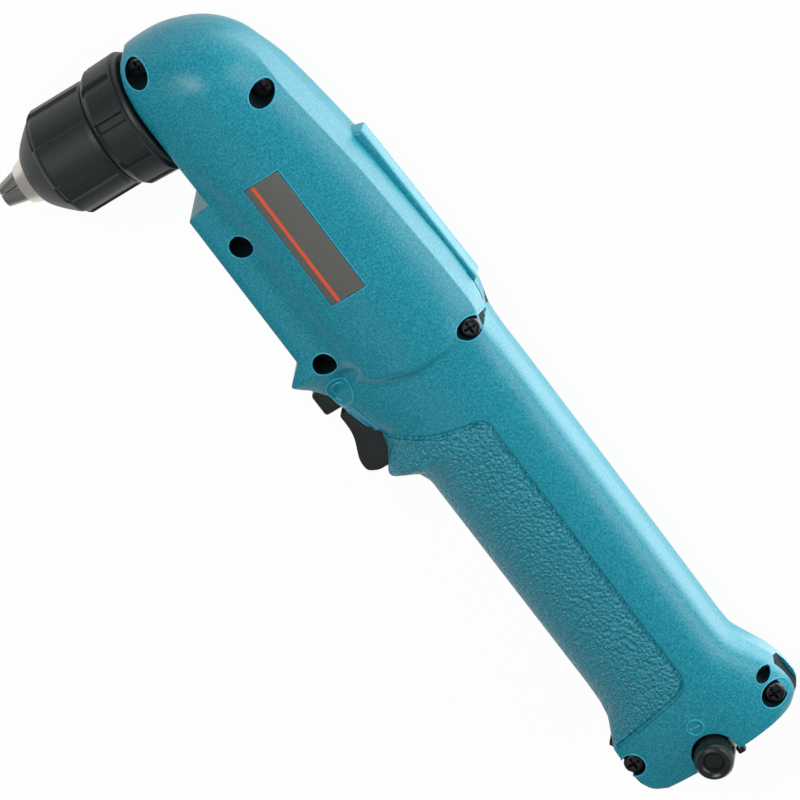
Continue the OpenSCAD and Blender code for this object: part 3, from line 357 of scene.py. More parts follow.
def skin_section(front, back, back_flat, front_flat, half, back_power, back_round, front_round):
    raw = raw_section(front, back, back_flat, front_flat, back_power)
    raw = [(x, z * half) for x, z in raw]
    lengths = [0]
    for a, b in zip(raw, raw[1:]):
        lengths.append(lengths[-1] + math.dist(a, b))
    total = lengths[-1]
    back_crease = lengths[1]
    front_crease = lengths[-2]

    def place(s):
        sign = 1
        if s < 0:
            s, sign = -s, -1
        if s > total:
            s, sign = 2 * total - s, -1
        low, high = 0, len(lengths) - 1
        while high - low > 1:
            mid = (low + high) // 2
            if lengths[mid] <= s:
                low = mid
            else:
                high = mid
        span = max(lengths[high] - lengths[low], 1e-9)
        t = (s - lengths[low]) / span
        return (
            raw[low][0] + (raw[high][0] - raw[low][0]) * t,
            sign * (raw[low][1] + (raw[high][1] - raw[low][1]) * t),
        )

    near = [-1.8, -1.2, -0.7, -0.3, 0, 0.3, 0.7, 1.2, 1.8]
    far = near[-1]
    flat_steps = 4
    front_steps = 12
    arc_steps = 27
    back_near = min(1, back_crease / 3)
    front_near = min(1, (total - front_crease) / 3)
    spots = [back_crease * i / flat_steps * (1 - far * back_near / back_crease) for i in range(flat_steps)]
    spots += [back_crease + d * back_near for d in near]
    arc_from = back_crease + far * back_near
    arc_to = front_crease - far * front_near
    spots += [arc_from + (arc_to - arc_from) * i / arc_steps for i in range(1, arc_steps)]
    spots += [front_crease + d * front_near for d in near]
    flat_from = front_crease + far * front_near
    spots += [flat_from + (total - flat_from) * (i + 1) / front_steps for i in range(front_steps)]
    points = []
    for s in spots:
        mix = smooth_step((s - back_crease) / max(front_crease - back_crease, 0.01))
        reach = back_round + (front_round - back_round) * mix
        reach = min(reach, 0.4 * back_crease + 0.05)
        x = 0
        z = 0
        for i, w in enumerate(blur_weights):
            px, pz = place(s + reach * (i - 3) / 3)
            x += w * px / blur_sum
            z += w * pz / blur_sum
        points.append((x, max(z, 0)))
    return points


def nose_share(y):
    return smooth_step((y - guard_y + 11) / 9)


def outer_section(y):
    front = front_at(y)
    back = back_at(y)
    share = nose_share(y)
    root = front + (max(face_x, front) - front) * share
    base_half = half_at(handle_x, y)
    points = skin_section(
        root, back, back_flat_at(y), along(front_flat_line, y), base_half,
        along(back_power_line, y), along(back_round_line, y), along(front_round_line, y),
    )
    points = [(x, z * half_at(x, y) / base_half) for x, z in points]
    mid = (root + back) / 2
    crown = along(crown_line, y)
    crease_z = max(back_flat_at(y) * base_half, 0.5)
    crowned = []
    for x, z in points:
        if x > mid:
            x -= crown * (x - mid) / (back - mid) * min(z / crease_z, 1)
        crowned.append((x, z))
    edge = min(i for i, (x, z) in enumerate(crowned) if x < root + nose_edge)
    edge_z = crowned[edge][1]
    soft = share * smooth_step((ledge_y + 20 - y) / 20)
    nosed = []
    for x, z in crowned[:edge]:
        level_z = edge_z + 0.12 * (x - root)
        if x < root + nose_len and z > level_z:
            z += soft * (level_z - z) * (1 - smooth_step((x - root) / nose_len))
        nosed.append((x, z))
    if root - front < 0.05:
        return nosed + crowned[edge:]
    for x, z in crowned[edge:]:
        way = 1 - z / edge_z
        if way < nose_corner:
            run = way / nose_corner
            x = root - (root - front - nose_lip * run ** 8) * run
            nosed.append((x, edge_z * (1 - (1 - nose_end) * run ** 4)))
        else:
            nosed.append((front, edge_z * nose_end * (1 - (way - nose_corner) / (1 - nose_corner))))
    return nosed


def skin_z(x, y):
    points = outer_section(min(y, top_y - 0.2))
    for (x1, z1), (x2, z2) in zip(points, points[1:]):
        if x1 >= x >= x2 and x1 - x2 > 1e-6:
            return z1 + (z2 - z1) * (x1 - x) / (x1 - x2)
    return max(points[5][1], 0) if x > points[0][0] else points[-6][1]


def make_active(piece):
    bpy.ops.object.select_all(action="DESELECT")
    piece.select_set(True)
    bpy.context.view_layer.objects.active = piece


def weld(piece, gap, fill=False):
    make_active(piece)
    bpy.ops.object.mode_set(mode="EDIT")
    bpy.ops.mesh.select_all(action="SELECT")
    bpy.ops.mesh.remove_doubles(threshold=gap * mm)
    if fill:
        bpy.ops.mesh.fill_holes(sides=0)
        bpy.ops.mesh.select_all(action="SELECT")
    bpy.ops.mesh.normals_make_consistent(inside=False)
    bpy.ops.object.mode_set(mode="OBJECT")


def turn_over(piece):
    for v in piece.data.vertices:
        v.co.z = -v.co.z
    make_active(piece)
    bpy.ops.object.mode_set(mode="EDIT")
    bpy.ops.mesh.select_all(action="SELECT")
    bpy.ops.mesh.flip_normals()
    bpy.ops.object.mode_set(mode="OBJECT")


def section_tube(rows, name):
    around = len(rows[0][1])
    bpy.ops.mesh.primitive_grid_add(x_subdivisions=around, y_subdivisions=len(rows) - 1, size=2)
    tube = bpy.context.object
    tube.name = name
    for v in tube.data.vertices:
        column = round((v.co.x + 1) / 2 * around) % around
        row = round((v.co.y + 1) / 2 * (len(rows) - 1))
        y, points = rows[row]
        v.co = Vector((points[column][0], y, points[column][1])) * mm
    weld(tube, 0.001, True)
    return tube


def carve(piece, cutter, tangled=False):
    cut = piece.modifiers.new("cut", "BOOLEAN")
    cut.operation = "DIFFERENCE"
    cut.solver = "EXACT"
    cut.use_self = tangled
    cut.object = cutter
    make_active(piece)
    bpy.ops.object.modifier_apply(modifier=cut.name)
    bpy.data.objects.remove(cutter)


def joined(pieces):
    bpy.ops.object.select_all(action="DESELECT")
    for piece in pieces:
        piece.select_set(True)
    bpy.context.view_layer.objects.active = pieces[0]
    bpy.ops.object.join()
    return bpy.context.object


def block(low, high, round_r=0.0):
    bpy.ops.mesh.primitive_cube_add(size=1)
    cube = bpy.context.object
    size = Vector(high) - Vector(low)
    middle = (Vector(high) + Vector(low)) / 2
    for v in cube.data.vertices:
        v.co = Vector([v.co[k] * size[k] + middle[k] for k in range(3)]) * mm
    if round_r:
        bpy.ops.object.mode_set(mode="EDIT")
        bpy.ops.mesh.select_all(action="SELECT")
        bpy.ops.mesh.bevel(offset=round_r * mm, segments=3, affect="EDGES")
        bpy.ops.object.mode_set(mode="OBJECT")
    return cube


along_x = (0, math.pi / 2, 0)
along_y = (math.pi / 2, 0, 0)


def cylinder(middle, length, r, sides, turn=(0, 0, 0)):
    bpy.ops.mesh.primitive_cylinder_add(
        vertices=sides, radius=r * mm, depth=length * mm, location=Vector(middle) * mm, rotation=turn,
    )
    bpy.ops.object.transform_apply(location=True, rotation=True, scale=True)
    return bpy.context.object


def post(x, y, z_low, z_high, r, sides=48):
    return cylinder((x, y, (z_low + z_high) / 2), z_high - z_low, r, sides)


def smooth(piece):
    make_active(piece)
    bpy.ops.object.shade_smooth_by_angle(angle=math.radians(32))


head_cap = 1.9 * wall
row_spans = [
    (0, ledge_y + 3, 1.5),
    (ledge_y + 3, ledge_y - 3, 0.25),
    (ledge_y - 3, motor_low.y, 2),
    (motor_low.y, guard_y - 4, 0.5),
    (guard_y - 4, slot_end_y - 16, 0.8),
    (slot_end_y - 16, tail_flare_y, 2.5),
    (tail_flare_y, tail_y, 0.7),
]
dome_turns = (88.5, 86, 83, *range(80, 0, -3))
row_heights = [top_y * math.sin(math.radians(turn)) for turn in dome_turns]
for start, end, step in row_spans:
    count = math.ceil((start - end) / step)
    row_heights += [start + (end - start) * i / count for i in range(count)]
row_heights.append(tail_y)
outer_rows = [(y, outer_section(y)) for y in row_heights]

inner_rows = []
for y in row_heights[4::3] + [tail_y - 4]:
    if y > top_y - head_cap:
        continue
    in_handle = y < slot_end_y - 12
    reach = (y - wall, y, y + wall)
    front = handle_front + wall if in_handle else max(front_at(v) for v in reach) + wall
    if y > guard_y - 14:
        front = max(front, face_x + wall)
    back = handle_back - wall if in_handle else min(back_at(v) for v in reach) - wall
    half = min(min(half_at(chest_x, v), half_at(handle_x, v)) for v in reach) - wall
    points = skin_section(front, back, back_flat_at(y), 0.4, half, along(back_power_line, y), 1, 1)
    inner_rows.append((y, [(x, z if 0 < i < len(points) - 1 else -1) for i, (x, z) in enumerate(points)]))

screw_spots = [
    (face_x + 6.8, head_r - 6.4, 6),
    (motor_x + 11.9, -10.2, 9),
    (body_front + 9.2, motor_high.y - 15, 6),
    (body_front + 7.2, motor_low.y - 7.5, 6),
    (body_back - 6.2, switch_high.y - 10.6, 11),
    (handle_back + 3.2, tail_y + 8, 9),
    (handle_front - 1.6, tail_y + 13.3, 12.5),
]
counterbore_r = 4.1
boss_r = 5.6
strap_x = handle_back + 3.6
strap_y = tail_y + 15.2
strap_r = 2.3
hub_x = (hub_low.x + hub_high.x) / 2
hub_y = (hub_low.y + hub_high.y) / 2
notch_r = 7.8
arm_slot_z = 13
switch_slot_half = 8.9
strap_slot_half = 4
parting_line_half = 0.45
sink = 3
spindle_hole_r = 15.4
plate_gap = 0.2
grip_groove_r = 0.95

clear_x = 20
grip_top_y = -133.4
grip_low_y = -266.6
grip_path = [
    (front_at(grip_top_y) + 1.5, grip_top_y, 0),
    (72, -140.3, 6),
    (84, -143.6, 3),
    (90.4, -144.6, 4),
    (89.9, -260, 6),
    (63.8, -265.1, 4),
    (front_at(grip_low_y) + 1.5, grip_low_y, 0),
]


def rounded_path(corners):
    path = [corners[0][:2]]
    for before, here, after in zip(corners, corners[1:], corners[2:]):
        to_before = Vector(before[:2]) - Vector(here[:2])
        to_after = Vector(after[:2]) - Vector(here[:2])
        a = Vector(here[:2]) + to_before.normalized() * here[2]
        b = Vector(here[:2]) + to_after.normalized() * here[2]
        for i in range(7):
            t = i / 6
            path.append(tuple(a * (1 - t) ** 2 + Vector(here[:2]) * 2 * t * (1 - t) + b * t * t))
    path.append(corners[-1][:2])
    return path


def dense_path(path, step):
    points = []
    for a, b in zip(path, path[1:]):
        count = max(1, math.ceil(math.dist(a, b) / step))
        points += [tuple(Vector(a).lerp(Vector(b), i / count)) for i in range(count)]
    points.append(path[-1])
    return points


def swept(points, r, closed=False):
    spline_data = bpy.data.curves.new("bead", "CURVE")
    spline_data.dimensions = "3D"
    spline_data.bevel_depth = r * mm
    spline_data.bevel_resolution = 2
    spline_data.use_fill_caps = True
    spline = spline_data.splines.new("POLY")
    spline.points.add(len(points) - 1)
    for point, (x, y, z) in zip(spline.points, points):
        point.co = (x * mm, y * mm, z * mm, 1)
    spline.use_cyclic_u = closed
    bead = bpy.data.objects.new("bead", spline_data)
    bpy.context.scene.collection.objects.link(bead)
    make_active(bead)
    bpy.ops.object.convert(target="MESH")
    weld(bpy.context.object, 0.002, True)
    return bpy.context.object


def skin_bead(path, r, lift=0, closed=False):
    return swept([(x, y, skin_z(x, y) + lift) for x, y in path], r, closed)


def circle_path(x, y, r, count=40):
    turns = [2 * math.pi * i / count for i in range(count)]
    return [(x + r * math.cos(turn), y + r * math.sin(turn)) for turn in turns]


def housing_half(name, head_side):
    half = section_tube(outer_rows, name)
    core = section_tube(inner_rows, "core")
    bosses = joined([post(x, y, -2, head_r, boss_r) for x, y, seat in screw_spots])
    carve(core, bosses)
    carve(half, core)
    slot_low = (guard_x - 10, slot_end_y - 1.5, -sink)
    strap_low = (handle_back + 6.8, tail_y - 1, -sink)
    line_low = (body_back - 1.4, guard_y - 15, -sink)
    arm_low = (hub_x - notch_r, tail_y - 4, arm_slot_z)
    cutters = [
        block(slot_low, (switch_low.x + 2, guard_y - 1.8, switch_slot_half)),
        post(hub_x, hub_y, arm_slot_z, handle_half + sink, notch_r, 64),
        post(strap_x, strap_y, -sink, head_r, strap_r),
        block(strap_low, (tail_back + sink, tail_y + 17.5, strap_slot_half)),
        block(line_low, (body_back + sink, guard_y + 1, parting_line_half)),
        block(arm_low, (hub_x + notch_r, hub_y, handle_half + sink)),
        cylinder((face_x, 0, 0), 8, spindle_hole_r, 96, along_x),
    ]
    if head_side:
        cutters.append(joined([post(x, y, seat, head_r + 4, counterbore_r) for x, y, seat in screw_spots]))
        cutters.append(block(
            (plate_low.x - plate_gap, plate_low.y - plate_gap, plate_low.z),
            (plate_high.x + plate_gap, plate_high.y + plate_gap, body_half + sink),
        ))
    for cutter in cutters:
        carve(half, cutter)
    carve(half, skin_bead(dense_path(rounded_path(grip_path), 1.6), grip_groove_r), True)
    return half


left_shell = housing_half("left_shell", True)
shell_faces = len(left_shell.data.polygons)
rim_lift = -0.1
mark_lift = 0.1
mark_x = switch_x - 7
mark_y = guard_y - 7.1
frame_y = slot_end_y + 19
frame_corners = [(-2.7, 5.2), (0.5, 5.7), (2.7, -5.2), (-0.5, -5.7)]
frame_loop = [(mark_x + dx, frame_y + dy) for dx, dy in frame_corners]
lock_y = tail_y + 14.6
lock_bar = [(handle_x - 1.5, lock_y + 0.2), (handle_x + 2.5, lock_y - 0.2)]
pocket_gap = 2 * plate_gap
pocket_from = (plate_low.x - pocket_gap, plate_low.y - pocket_gap)
pocket_to = (plate_high.x + pocket_gap, plate_high.y + pocket_gap)
pocket_loop = [
    pocket_from,
    (pocket_to[0], pocket_from[1]),
    pocket_to,
    (pocket_from[0], pocket_to[1]),
    pocket_from,
]
rims = [(circle_path(x, y, counterbore_r + 0.2), 0.3, rim_lift, True) for x, y, seat in screw_spots]
rims += [
    (circle_path(strap_x, strap_y, strap_r + 0.15, 24), 0.25, rim_lift, True),
    (circle_path(mark_x, mark_y, 4.6), 0.38, mark_lift, True),
    (circle_path(mark_x, mark_y, 2.6)[4:30], 0.34, mark_lift, False),
    (dense_path(frame_loop + frame_loop[:1], 1)[:-1], 0.34, mark_lift, True),
    (circle_path(handle_x + 0.5, lock_y, 2.8), 0.36, mark_lift, True),
    (dense_path(lock_bar, 0.5), 0.36, mark_lift, False),
    (dense_path(pocket_loop, 1.5)[:-1], 0.25, -0.08, True),
]
left_shell = joined([left_shell] + [skin_bead(*rim) for rim in rims])
left_shell.name = "left_shell"

right_shell = housing_half("right_shell", False)
turn_over(right_shell)
pad_ramp = 5
pad = block((body_back - 6, guard_y - 8, -8.6), (body_back + 1.5, ledge_y - 9, -0.5), 0.9)
for v in pad.data.vertices:
    if v.co.y < (guard_y - 4) * mm and v.co.x > body_back * mm:
        v.co.y += pad_ramp * mm
    if v.co.y > (ledge_y - 14) * mm and v.co.x > body_back * mm:
        v.co.x -= 1 * mm
        v.co.y -= 1.5 * mm
right_shell = joined([right_shell, pad])
right_shell.name = "right_shell"


def new_material(name):
    material = bpy.data.materials.new(name)
    material.use_nodes = True
    return material, material.node_tree, material.node_tree.nodes["Principled BSDF"]


def add_node(tree, kind, **values):
    made = tree.nodes.new(kind)
    for socket, value in values.items():
        made.inputs[socket.replace("_", " ")].default_value = value
    return made


def add_roughness(tree, shader, pattern, low, high):
    spread = add_node(tree, "ShaderNodeMapRange", To_Min=low, To_Max=high)
    tree.links.new(pattern.outputs["Fac"], spread.inputs["Value"])
    tree.links.new(spread.outputs["Result"], shader.inputs["Roughness"])


def moulded(name, colour, pale, speck, rough, grain, depth, pebble=0, pebble_depth=0, shine=0.35):
    material, tree, shader = new_material(name)
    shader.inputs["Metallic"].default_value = 0
    shader.inputs["Specular IOR Level"].default_value = shine
    place = add_node(tree, "ShaderNodeTexCoord").outputs["Object"]
    specks = add_node(tree, "ShaderNodeTexNoise", Scale=1 / (speck * mm), Detail=3)
    tree.links.new(place, specks.inputs["Vector"])
    ramp = add_node(tree, "ShaderNodeValToRGB")
    ramp.color_ramp.elements[0].position = 0.38
    ramp.color_ramp.elements[0].color = (*colour, 1)
    ramp.color_ramp.elements[1].position = 0.72
    ramp.color_ramp.elements[1].color = (*pale, 1)
    tree.links.new(specks.outputs["Fac"], ramp.inputs["Fac"])
    tree.links.new(ramp.outputs["Color"], shader.inputs["Base Color"])
    add_roughness(tree, shader, specks, rough - 0.06, rough + 0.08)
    grains = add_node(tree, "ShaderNodeTexNoise", Scale=1 / (grain * mm), Detail=2)
    tree.links.new(place, grains.inputs["Vector"])
    bump = add_node(tree, "ShaderNodeBump", Strength=0.6, Distance=depth * mm)
    tree.links.new(grains.outputs["Fac"], bump.inputs["Height"])
    if pebble:
        pebbles = tree.nodes.new("ShaderNodeTexVoronoi")
        pebbles.feature = "SMOOTH_F1"
        pebbles.inputs["Scale"].default_value = 1 / (pebble * mm)
        pebbles.inputs["Smoothness"].default_value = 0.6
        tree.links.new(place, pebbles.inputs["Vector"])
        knobs = add_node(tree, "ShaderNodeBump", Strength=0.9, Distance=pebble_depth * mm)
        knobs.invert = True
        tree.links.new(pebbles.outputs["Distance"], knobs.inputs["Height"])
        tree.links.new(bump.outputs["Normal"], knobs.inputs["Normal"])
        bump = knobs
    tree.links.new(bump.outputs["Normal"], shader.inputs["Normal"])
    return material


teal = (0.001, 0.175, 0.24)
teal_pale = (0.024, 0.29, 0.375)
housing_satin = moulded("housing_satin", teal, teal_pale, speck=0.7, rough=0.33, grain=0.6, depth=0.09)
grip_pebble = moulded(
    "grip_pebble", teal, teal_pale, speck=0.6, rough=0.36, grain=0.5, depth=0.04,
    pebble=1.2, pebble_depth=1.2, shine=0.5,
)
# Painted shade: a near-black teal laid on the walls and seats of the counterbores, the strap hole and the
# hub notch, where shade falls in them.
bore_painted_shade = moulded(
    "bore_painted_shade", (0.002, 0.01, 0.013), (0.004, 0.016, 0.02),
    speck=0.5, rough=0.7, grain=0.5, depth=0.04, shine=0.1,
)
# Painted highlight: a paler teal laid on the raised rims round the holes, the moulded marks and the plate
# pocket, standing in for light catching their edges.
edge_painted_highlight = moulded(
    "edge_painted_highlight", (0.012, 0.3, 0.42), (0.04, 0.38, 0.5), speck=0.7, rough=0.3, grain=0.6, depth=0.03,
)


def inside(x, y, path):
    hit = False
    for (x1, y1), (x2, y2) in zip(path, path[1:] + path[:1]):
        if (y1 > y) != (y2 > y) and x < x1 + (x2 - x1) * (y - y1) / (y2 - y1):
            hit = not hit
    return hit


# Spots whose hole walls and seats take the painted shade: the counterbores, the strap hole and the hub
# notch.
painted_shade_spots = [(x, y, counterbore_r) for x, y, seat in screw_spots]
painted_shade_spots += [(strap_x, strap_y, strap_r), (hub_x, hub_y, notch_r)]
grip_loop = [(clear_x, -125)] + rounded_path(grip_path) + [(clear_x, -272)]
for shell, node in ((left_shell, "left_housing"), (right_shell, "right_housing")):
    shell.data.materials.clear()
    for finish in (housing_satin, grip_pebble, bore_painted_shade, edge_painted_highlight):
        shell.data.materials.append(finish)
    for face in shell.data.polygons:
        centre = face.center / mm
        face.material_index = 1 if inside(centre.x, centre.y, grip_loop) else 0
        for x, y, r in painted_shade_spots:
            far = math.dist((x, y), centre.xy)
            seat = face.normal.z > 0.9 and centre.z < handle_half - 2
            if far < r + 0.05 and (seat or abs(face.normal.z) < 0.3):
                face.material_index = 2
        # The rims and marks joined onto the left half take the painted highlight.
        if shell == left_shell and face.index >= shell_faces:
            face.material_index = 3
    smooth(shell)
    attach(shell, "tool")
    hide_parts(node)

# Screws: seven black cross-recess screws, each on the seat at the bottom of its counterbore.
# One is turned and cut, with a domed head and a plain shank, and copied to each place.
screw_head_r = 3.4
screw_head_h = 2.4
screw_len = 15
cross_arm = 2.2
cross_half = 0.5
cross_floor = 0.7


def moved_copy(piece, shift):
    copy = piece.copy()
    copy.data = piece.data.copy()
    bpy.context.scene.collection.objects.link(copy)
    for v in copy.data.vertices:
        v.co += Vector(shift) * mm
    return copy


def rounded(piece, width):
    bevel = piece.modifiers.new("round", "BEVEL")
    bevel.width = width * mm
    bevel.segments = 3
    bevel.limit_method = "ANGLE"
    bevel.angle_limit = math.radians(40)
    make_active(piece)
    bpy.ops.object.modifier_apply(modifier=bevel.name)
    return piece


def metal(name, colour, rough, mark, depth=0.01, stretch=(1, 1, 1), metallic=1):
    material, tree, shader = new_material(name)
    shader.inputs["Metallic"].default_value = metallic
    shader.inputs["Base Color"].default_value = (*colour, 1)
    place = add_node(tree, "ShaderNodeTexCoord")
    drawn = add_node(tree, "ShaderNodeMapping", Scale=stretch)
    tree.links.new(place.outputs["Object"], drawn.inputs["Vector"])
    marks = add_node(tree, "ShaderNodeTexNoise", Scale=1 / (mark * mm), Detail=3)
    tree.links.new(drawn.outputs["Vector"], marks.inputs["Vector"])
    add_roughness(tree, shader, marks, rough - 0.08, rough + 0.1)
    bump = add_node(tree, "ShaderNodeBump", Strength=0.5, Distance=depth * mm)
    tree.links.new(marks.outputs["Fac"], bump.inputs["Height"])
    tree.links.new(bump.outputs["Normal"], shader.inputs["Normal"])
    return material


def dressed(piece, name, material, body, slot, *replaced):
    piece.name = name
    piece.data.materials.clear()
    piece.data.materials.append(material)
    for face in piece.data.polygons:
        face.material_index = 0
    smooth(piece)
    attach(piece, body)
    if replaced:
        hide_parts(*replaced)


screw_head = rounded(post(0, 0, 0, screw_head_h, screw_head_r, 40), 0.7)
for reach_x, reach_y in ((cross_arm, cross_half), (cross_half, cross_arm)):
    carve(screw_head, block((-reach_x, -reach_y, cross_floor), (reach_x, reach_y, screw_head_h + 1)))
first_screw = joined([screw_head, post(0, 0, -screw_len, 0, 1.5, 24)])
screws = joined([moved_copy(first_screw, spot) for spot in screw_spots])
bpy.data.objects.remove(first_screw)
screw_black = metal("screw_black", (0.025, 0.026, 0.028), rough=0.2, mark=0.6, metallic=0.8)
dressed(screws, "screws", screw_black, "tool", "screw_black", "housing_screws")

# Name plate: a thin dark sheet let into a shallow pocket on the left side.
# It is a thin block with a fine round edge, and a thin raised orange line runs down it.
stripe_x = plate_low.x + 2.4
plate = block(tuple(plate_low), tuple(plate_high), 0.2)
plate_grey = moulded(
    "plate_grey", (0.088, 0.088, 0.08), (0.12, 0.12, 0.11), speck=0.5, rough=0.4, grain=0.6, depth=0.02,
)
dressed(plate, "plate", plate_grey, "tool", "plate_grey", "name_plate")
stripe = block(
    (stripe_x, plate_low.y + 0.3, plate_high.z - 0.3),
    (stripe_x + 1.2, plate_high.y - 0.3, plate_high.z + 0.08),
)
stripe_orange = moulded(
    "stripe_orange", (0.62, 0.075, 0.03), (0.7, 0.1, 0.045), speck=0.5, rough=0.4, grain=0.6, depth=0.02,
)
dressed(stripe, "plate_stripe", stripe_orange, "tool", "plate_grey")

# Trigger: a black moulded finger trigger that slides into the switch on a round stem.
# Its side view is drawn as a curve with a hooked lower end, pushed out to its width and rounded.
trigger_low, trigger_high = corners_mm("trigger")
trigger_back = switch_x - 6
trigger_top = switch_high.y - 15
hook_x = trigger_low.x


def slab(corners, z_low, z_high, round_r):
    profile = rounded_path(corners + corners[:1])[:-1] if len(corners[0]) == 3 else corners
    bpy.ops.mesh.primitive_circle_add(vertices=len(profile), radius=1, fill_type="NGON")
    piece = bpy.context.object
    for v, (x, y) in zip(piece.data.vertices, profile):
        v.co = Vector((x, y, z_low)) * mm
    bpy.ops.object.mode_set(mode="EDIT")
    bpy.ops.mesh.select_all(action="SELECT")
    bpy.ops.mesh.extrude_region_move(TRANSFORM_OT_translate={"value": (0, 0, (z_high - z_low) * mm)})
    bpy.ops.mesh.select_all(action="SELECT")
    bpy.ops.mesh.normals_make_consistent(inside=False)
    bpy.ops.object.mode_set(mode="OBJECT")
    return rounded(piece, round_r) if round_r else piece


trigger_blade = slab(
    [
        (trigger_back, trigger_top, 0.2),
        (hook_x + 4, trigger_top, 1),
        (hook_x + 4, trigger_top - 8, 3.5),
        (hook_x, slot_end_y + 6, 2),
        (hook_x, slot_end_y + 1.6, 1.6),
        (hook_x + 3.6, trigger_low.y, 1.5),
        (trigger_back, trigger_low.y, 0.2),
    ],
    trigger_low.z, trigger_high.z, 1.6,
)
stem_from = trigger_back - 1
stem_middle = ((stem_from + trigger_high.x) / 2, switch_high.y - 27, 0)
stem = cylinder(stem_middle, trigger_high.x - stem_from, 2.5, 40, along_x)
trigger_piece = joined([trigger_blade, stem])
black = (0.008, 0.011, 0.011)
black_pale = (0.014, 0.018, 0.018)
black_plastic = moulded("black_plastic", black, black_pale, speck=0.5, rough=0.4, grain=0.5, depth=0.03)
dressed(trigger_piece, "trigger_blade", black_plastic, "trigger_unit", "black_plastic", "trigger")

# Reversing lever: a black moulded paddle above the trigger that swings on an upright pin.
# A rounded paddle, a narrow neck and a turned hub are joined into one piece.
lever_low, lever_high = corners_mm("reversing_lever")
pivot_x = switch_x + 4
paddle = rounded(block((lever_low.x, lever_low.y + 1, -4.5), (lever_low.x + 8, lever_high.y, 4.5)), 1.3)
neck = block((lever_low.x + 7, lever_low.y + 2, -2.25), (pivot_x, lever_high.y - 2, 2.25), 0.3)
lever_hub_y = (lever_low.y + lever_high.y - 1) / 2
lever_hub = cylinder((pivot_x, lever_hub_y, 0), lever_high.y - lever_low.y - 1, 4.5, 40, along_y)
lever = joined([paddle, neck, lever_hub])
dressed(lever, "lever_paddle", black_plastic, "lever_unit", "black_plastic", "reversing_lever")

# Battery latch: a black set plate that turns on two side hubs and hooks the front of the tail.
# The hubs are turned with a dished end, and the arms, the bar and the sprung strip are cut slabs.
arm_in = 13.2
arm_out = 15
bar_front = battery_low.x - 3
bar_back = bar_front + 4
bar_y = tail_y + 0.4
bar_t = 1.4
strip_x = tail_front - 0.3
strip_half = 6
hub_end = corners_mm("latch_plate")[1].z


def turned(profile, to_point, steps, relief=None):
    loop = profile + profile[:1]
    bpy.ops.mesh.primitive_grid_add(x_subdivisions=steps, y_subdivisions=len(loop) - 1, size=2)
    piece = bpy.context.object
    for v in piece.data.vertices:
        column = round((v.co.x + 1) / 2 * steps) % steps
        row = round((v.co.y + 1) / 2 * (len(loop) - 1)) % len(profile)
        way, r = profile[row]
        turn = 2 * math.pi * column / steps
        if relief:
            r += relief(way, r, math.degrees(turn))
        v.co = Vector(to_point(way, r * math.cos(turn), r * math.sin(turn))) * mm
    weld(piece, 0.001)
    return piece


def mirrored(piece):
    twin = moved_copy(piece, (0, 0, 0))
    turn_over(twin)
    return twin


hub_profile = [
    (hub_end - 2.6, 2.1),
    (hub_end - 2.6, 2.7),
    (hub_end - 1.1, 3.2),
    (hub_end - 0.4, 3.8),
    (hub_end, 4.6),
    (hub_end - 0.4, 5.6),
    (hub_end - 1.1, 6.1),
    (hub_end - 2.2, 6.6),
    (arm_in, 6.6),
    (arm_in, 2.1),
]
hub = turned(hub_profile, lambda way, a, b: (hub_x + a, hub_y + b, way), 72)
arm = slab(
    [
        (bar_front, bar_y),
        (bar_back + 1, bar_y),
        (hub_x, hub_y - 3),
        (hub_x, hub_y + 3),
        (bar_back + 6, hub_y + 1.5),
        (bar_back + 1, bar_y + bar_t),
        (bar_front, bar_y + bar_t),
    ],
    arm_in, arm_out, 0.2,
)
ear = post(hub_x, hub_y, arm_in, arm_out, 6.5)
strip = slab(
    [
        (bar_back, bar_y),
        (bar_front, bar_y),
        (strip_x + 0.6, tail_y + 4.4),
        (strip_x - 1.2, tail_y + 10.5),
        (strip_x - 1.2, tail_y + 16),
        (strip_x - 3, tail_y + 20),
        (strip_x - 2.2, tail_y + 21),
        (strip_x, tail_y + 16.4),
        (strip_x, tail_y + 11),
        (strip_x + 1.6, tail_y + 5.3),
        (bar_front + 0.4, bar_y + bar_t),
        (bar_back, bar_y + bar_t),
    ],
    -strip_half, strip_half, 0.25,
)
bar = block((bar_front, bar_y, -arm_out), (bar_back, bar_y + bar_t, arm_out), 0.3)
latch = joined([hub, arm, ear, mirrored(hub), mirrored(arm), mirrored(ear), strip, bar])
black_gloss = moulded("black_gloss", black, black_pale, speck=0.5, rough=0.22, grain=0.8, depth=0.015)
dressed(latch, "latch", black_gloss, "latch_unit", "black_plastic", "latch_plate")

# Latch stop: a short blackened steel nub in the lower edge of the left half, next to the hub.
# It is a small rounded block that is set into the wall.
stop_x = hub_x + notch_r
stop = block((stop_x - 1.3, tail_y - 2, 14.2), (stop_x + 1.4, tail_y + 0.6, 17.2), 0.5)
dressed(stop, "latch_stop", screw_black, "tool", "screw_black")

# Trigger spring: a steel coil spring round the stem of the trigger, in front of the switch.
# It is one wire swept along a helix; the real spring is pressed against the switch as the trigger goes in,
# but this one is a rigid piece that keeps its length.
spring_low, spring_high = corners_mm("trigger_spring")
spring_mid = (spring_low + spring_high) / 2
spring_len = spring_high.x - spring_low.x
wire_r = 0.4
coil_r = (spring_high.z - spring_low.z) / 2 - wire_r
coils = 4
coil_steps = 24 * coils
coil_path = []
for i in range(coil_steps + 1):
    turn = 2 * math.pi * coils * i / coil_steps
    x = spring_low.x + wire_r + (spring_len - 2 * wire_r) * i / coil_steps
    coil_path.append((x, spring_mid.y + coil_r * math.cos(turn), coil_r * math.sin(turn)))
steel = metal("steel", (0.55, 0.55, 0.55), rough=0.32, mark=0.4)
spring = swept(coil_path, wire_r)
dressed(spring, "spring", steel, "tool", "steel", "trigger_spring")
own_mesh(spring)

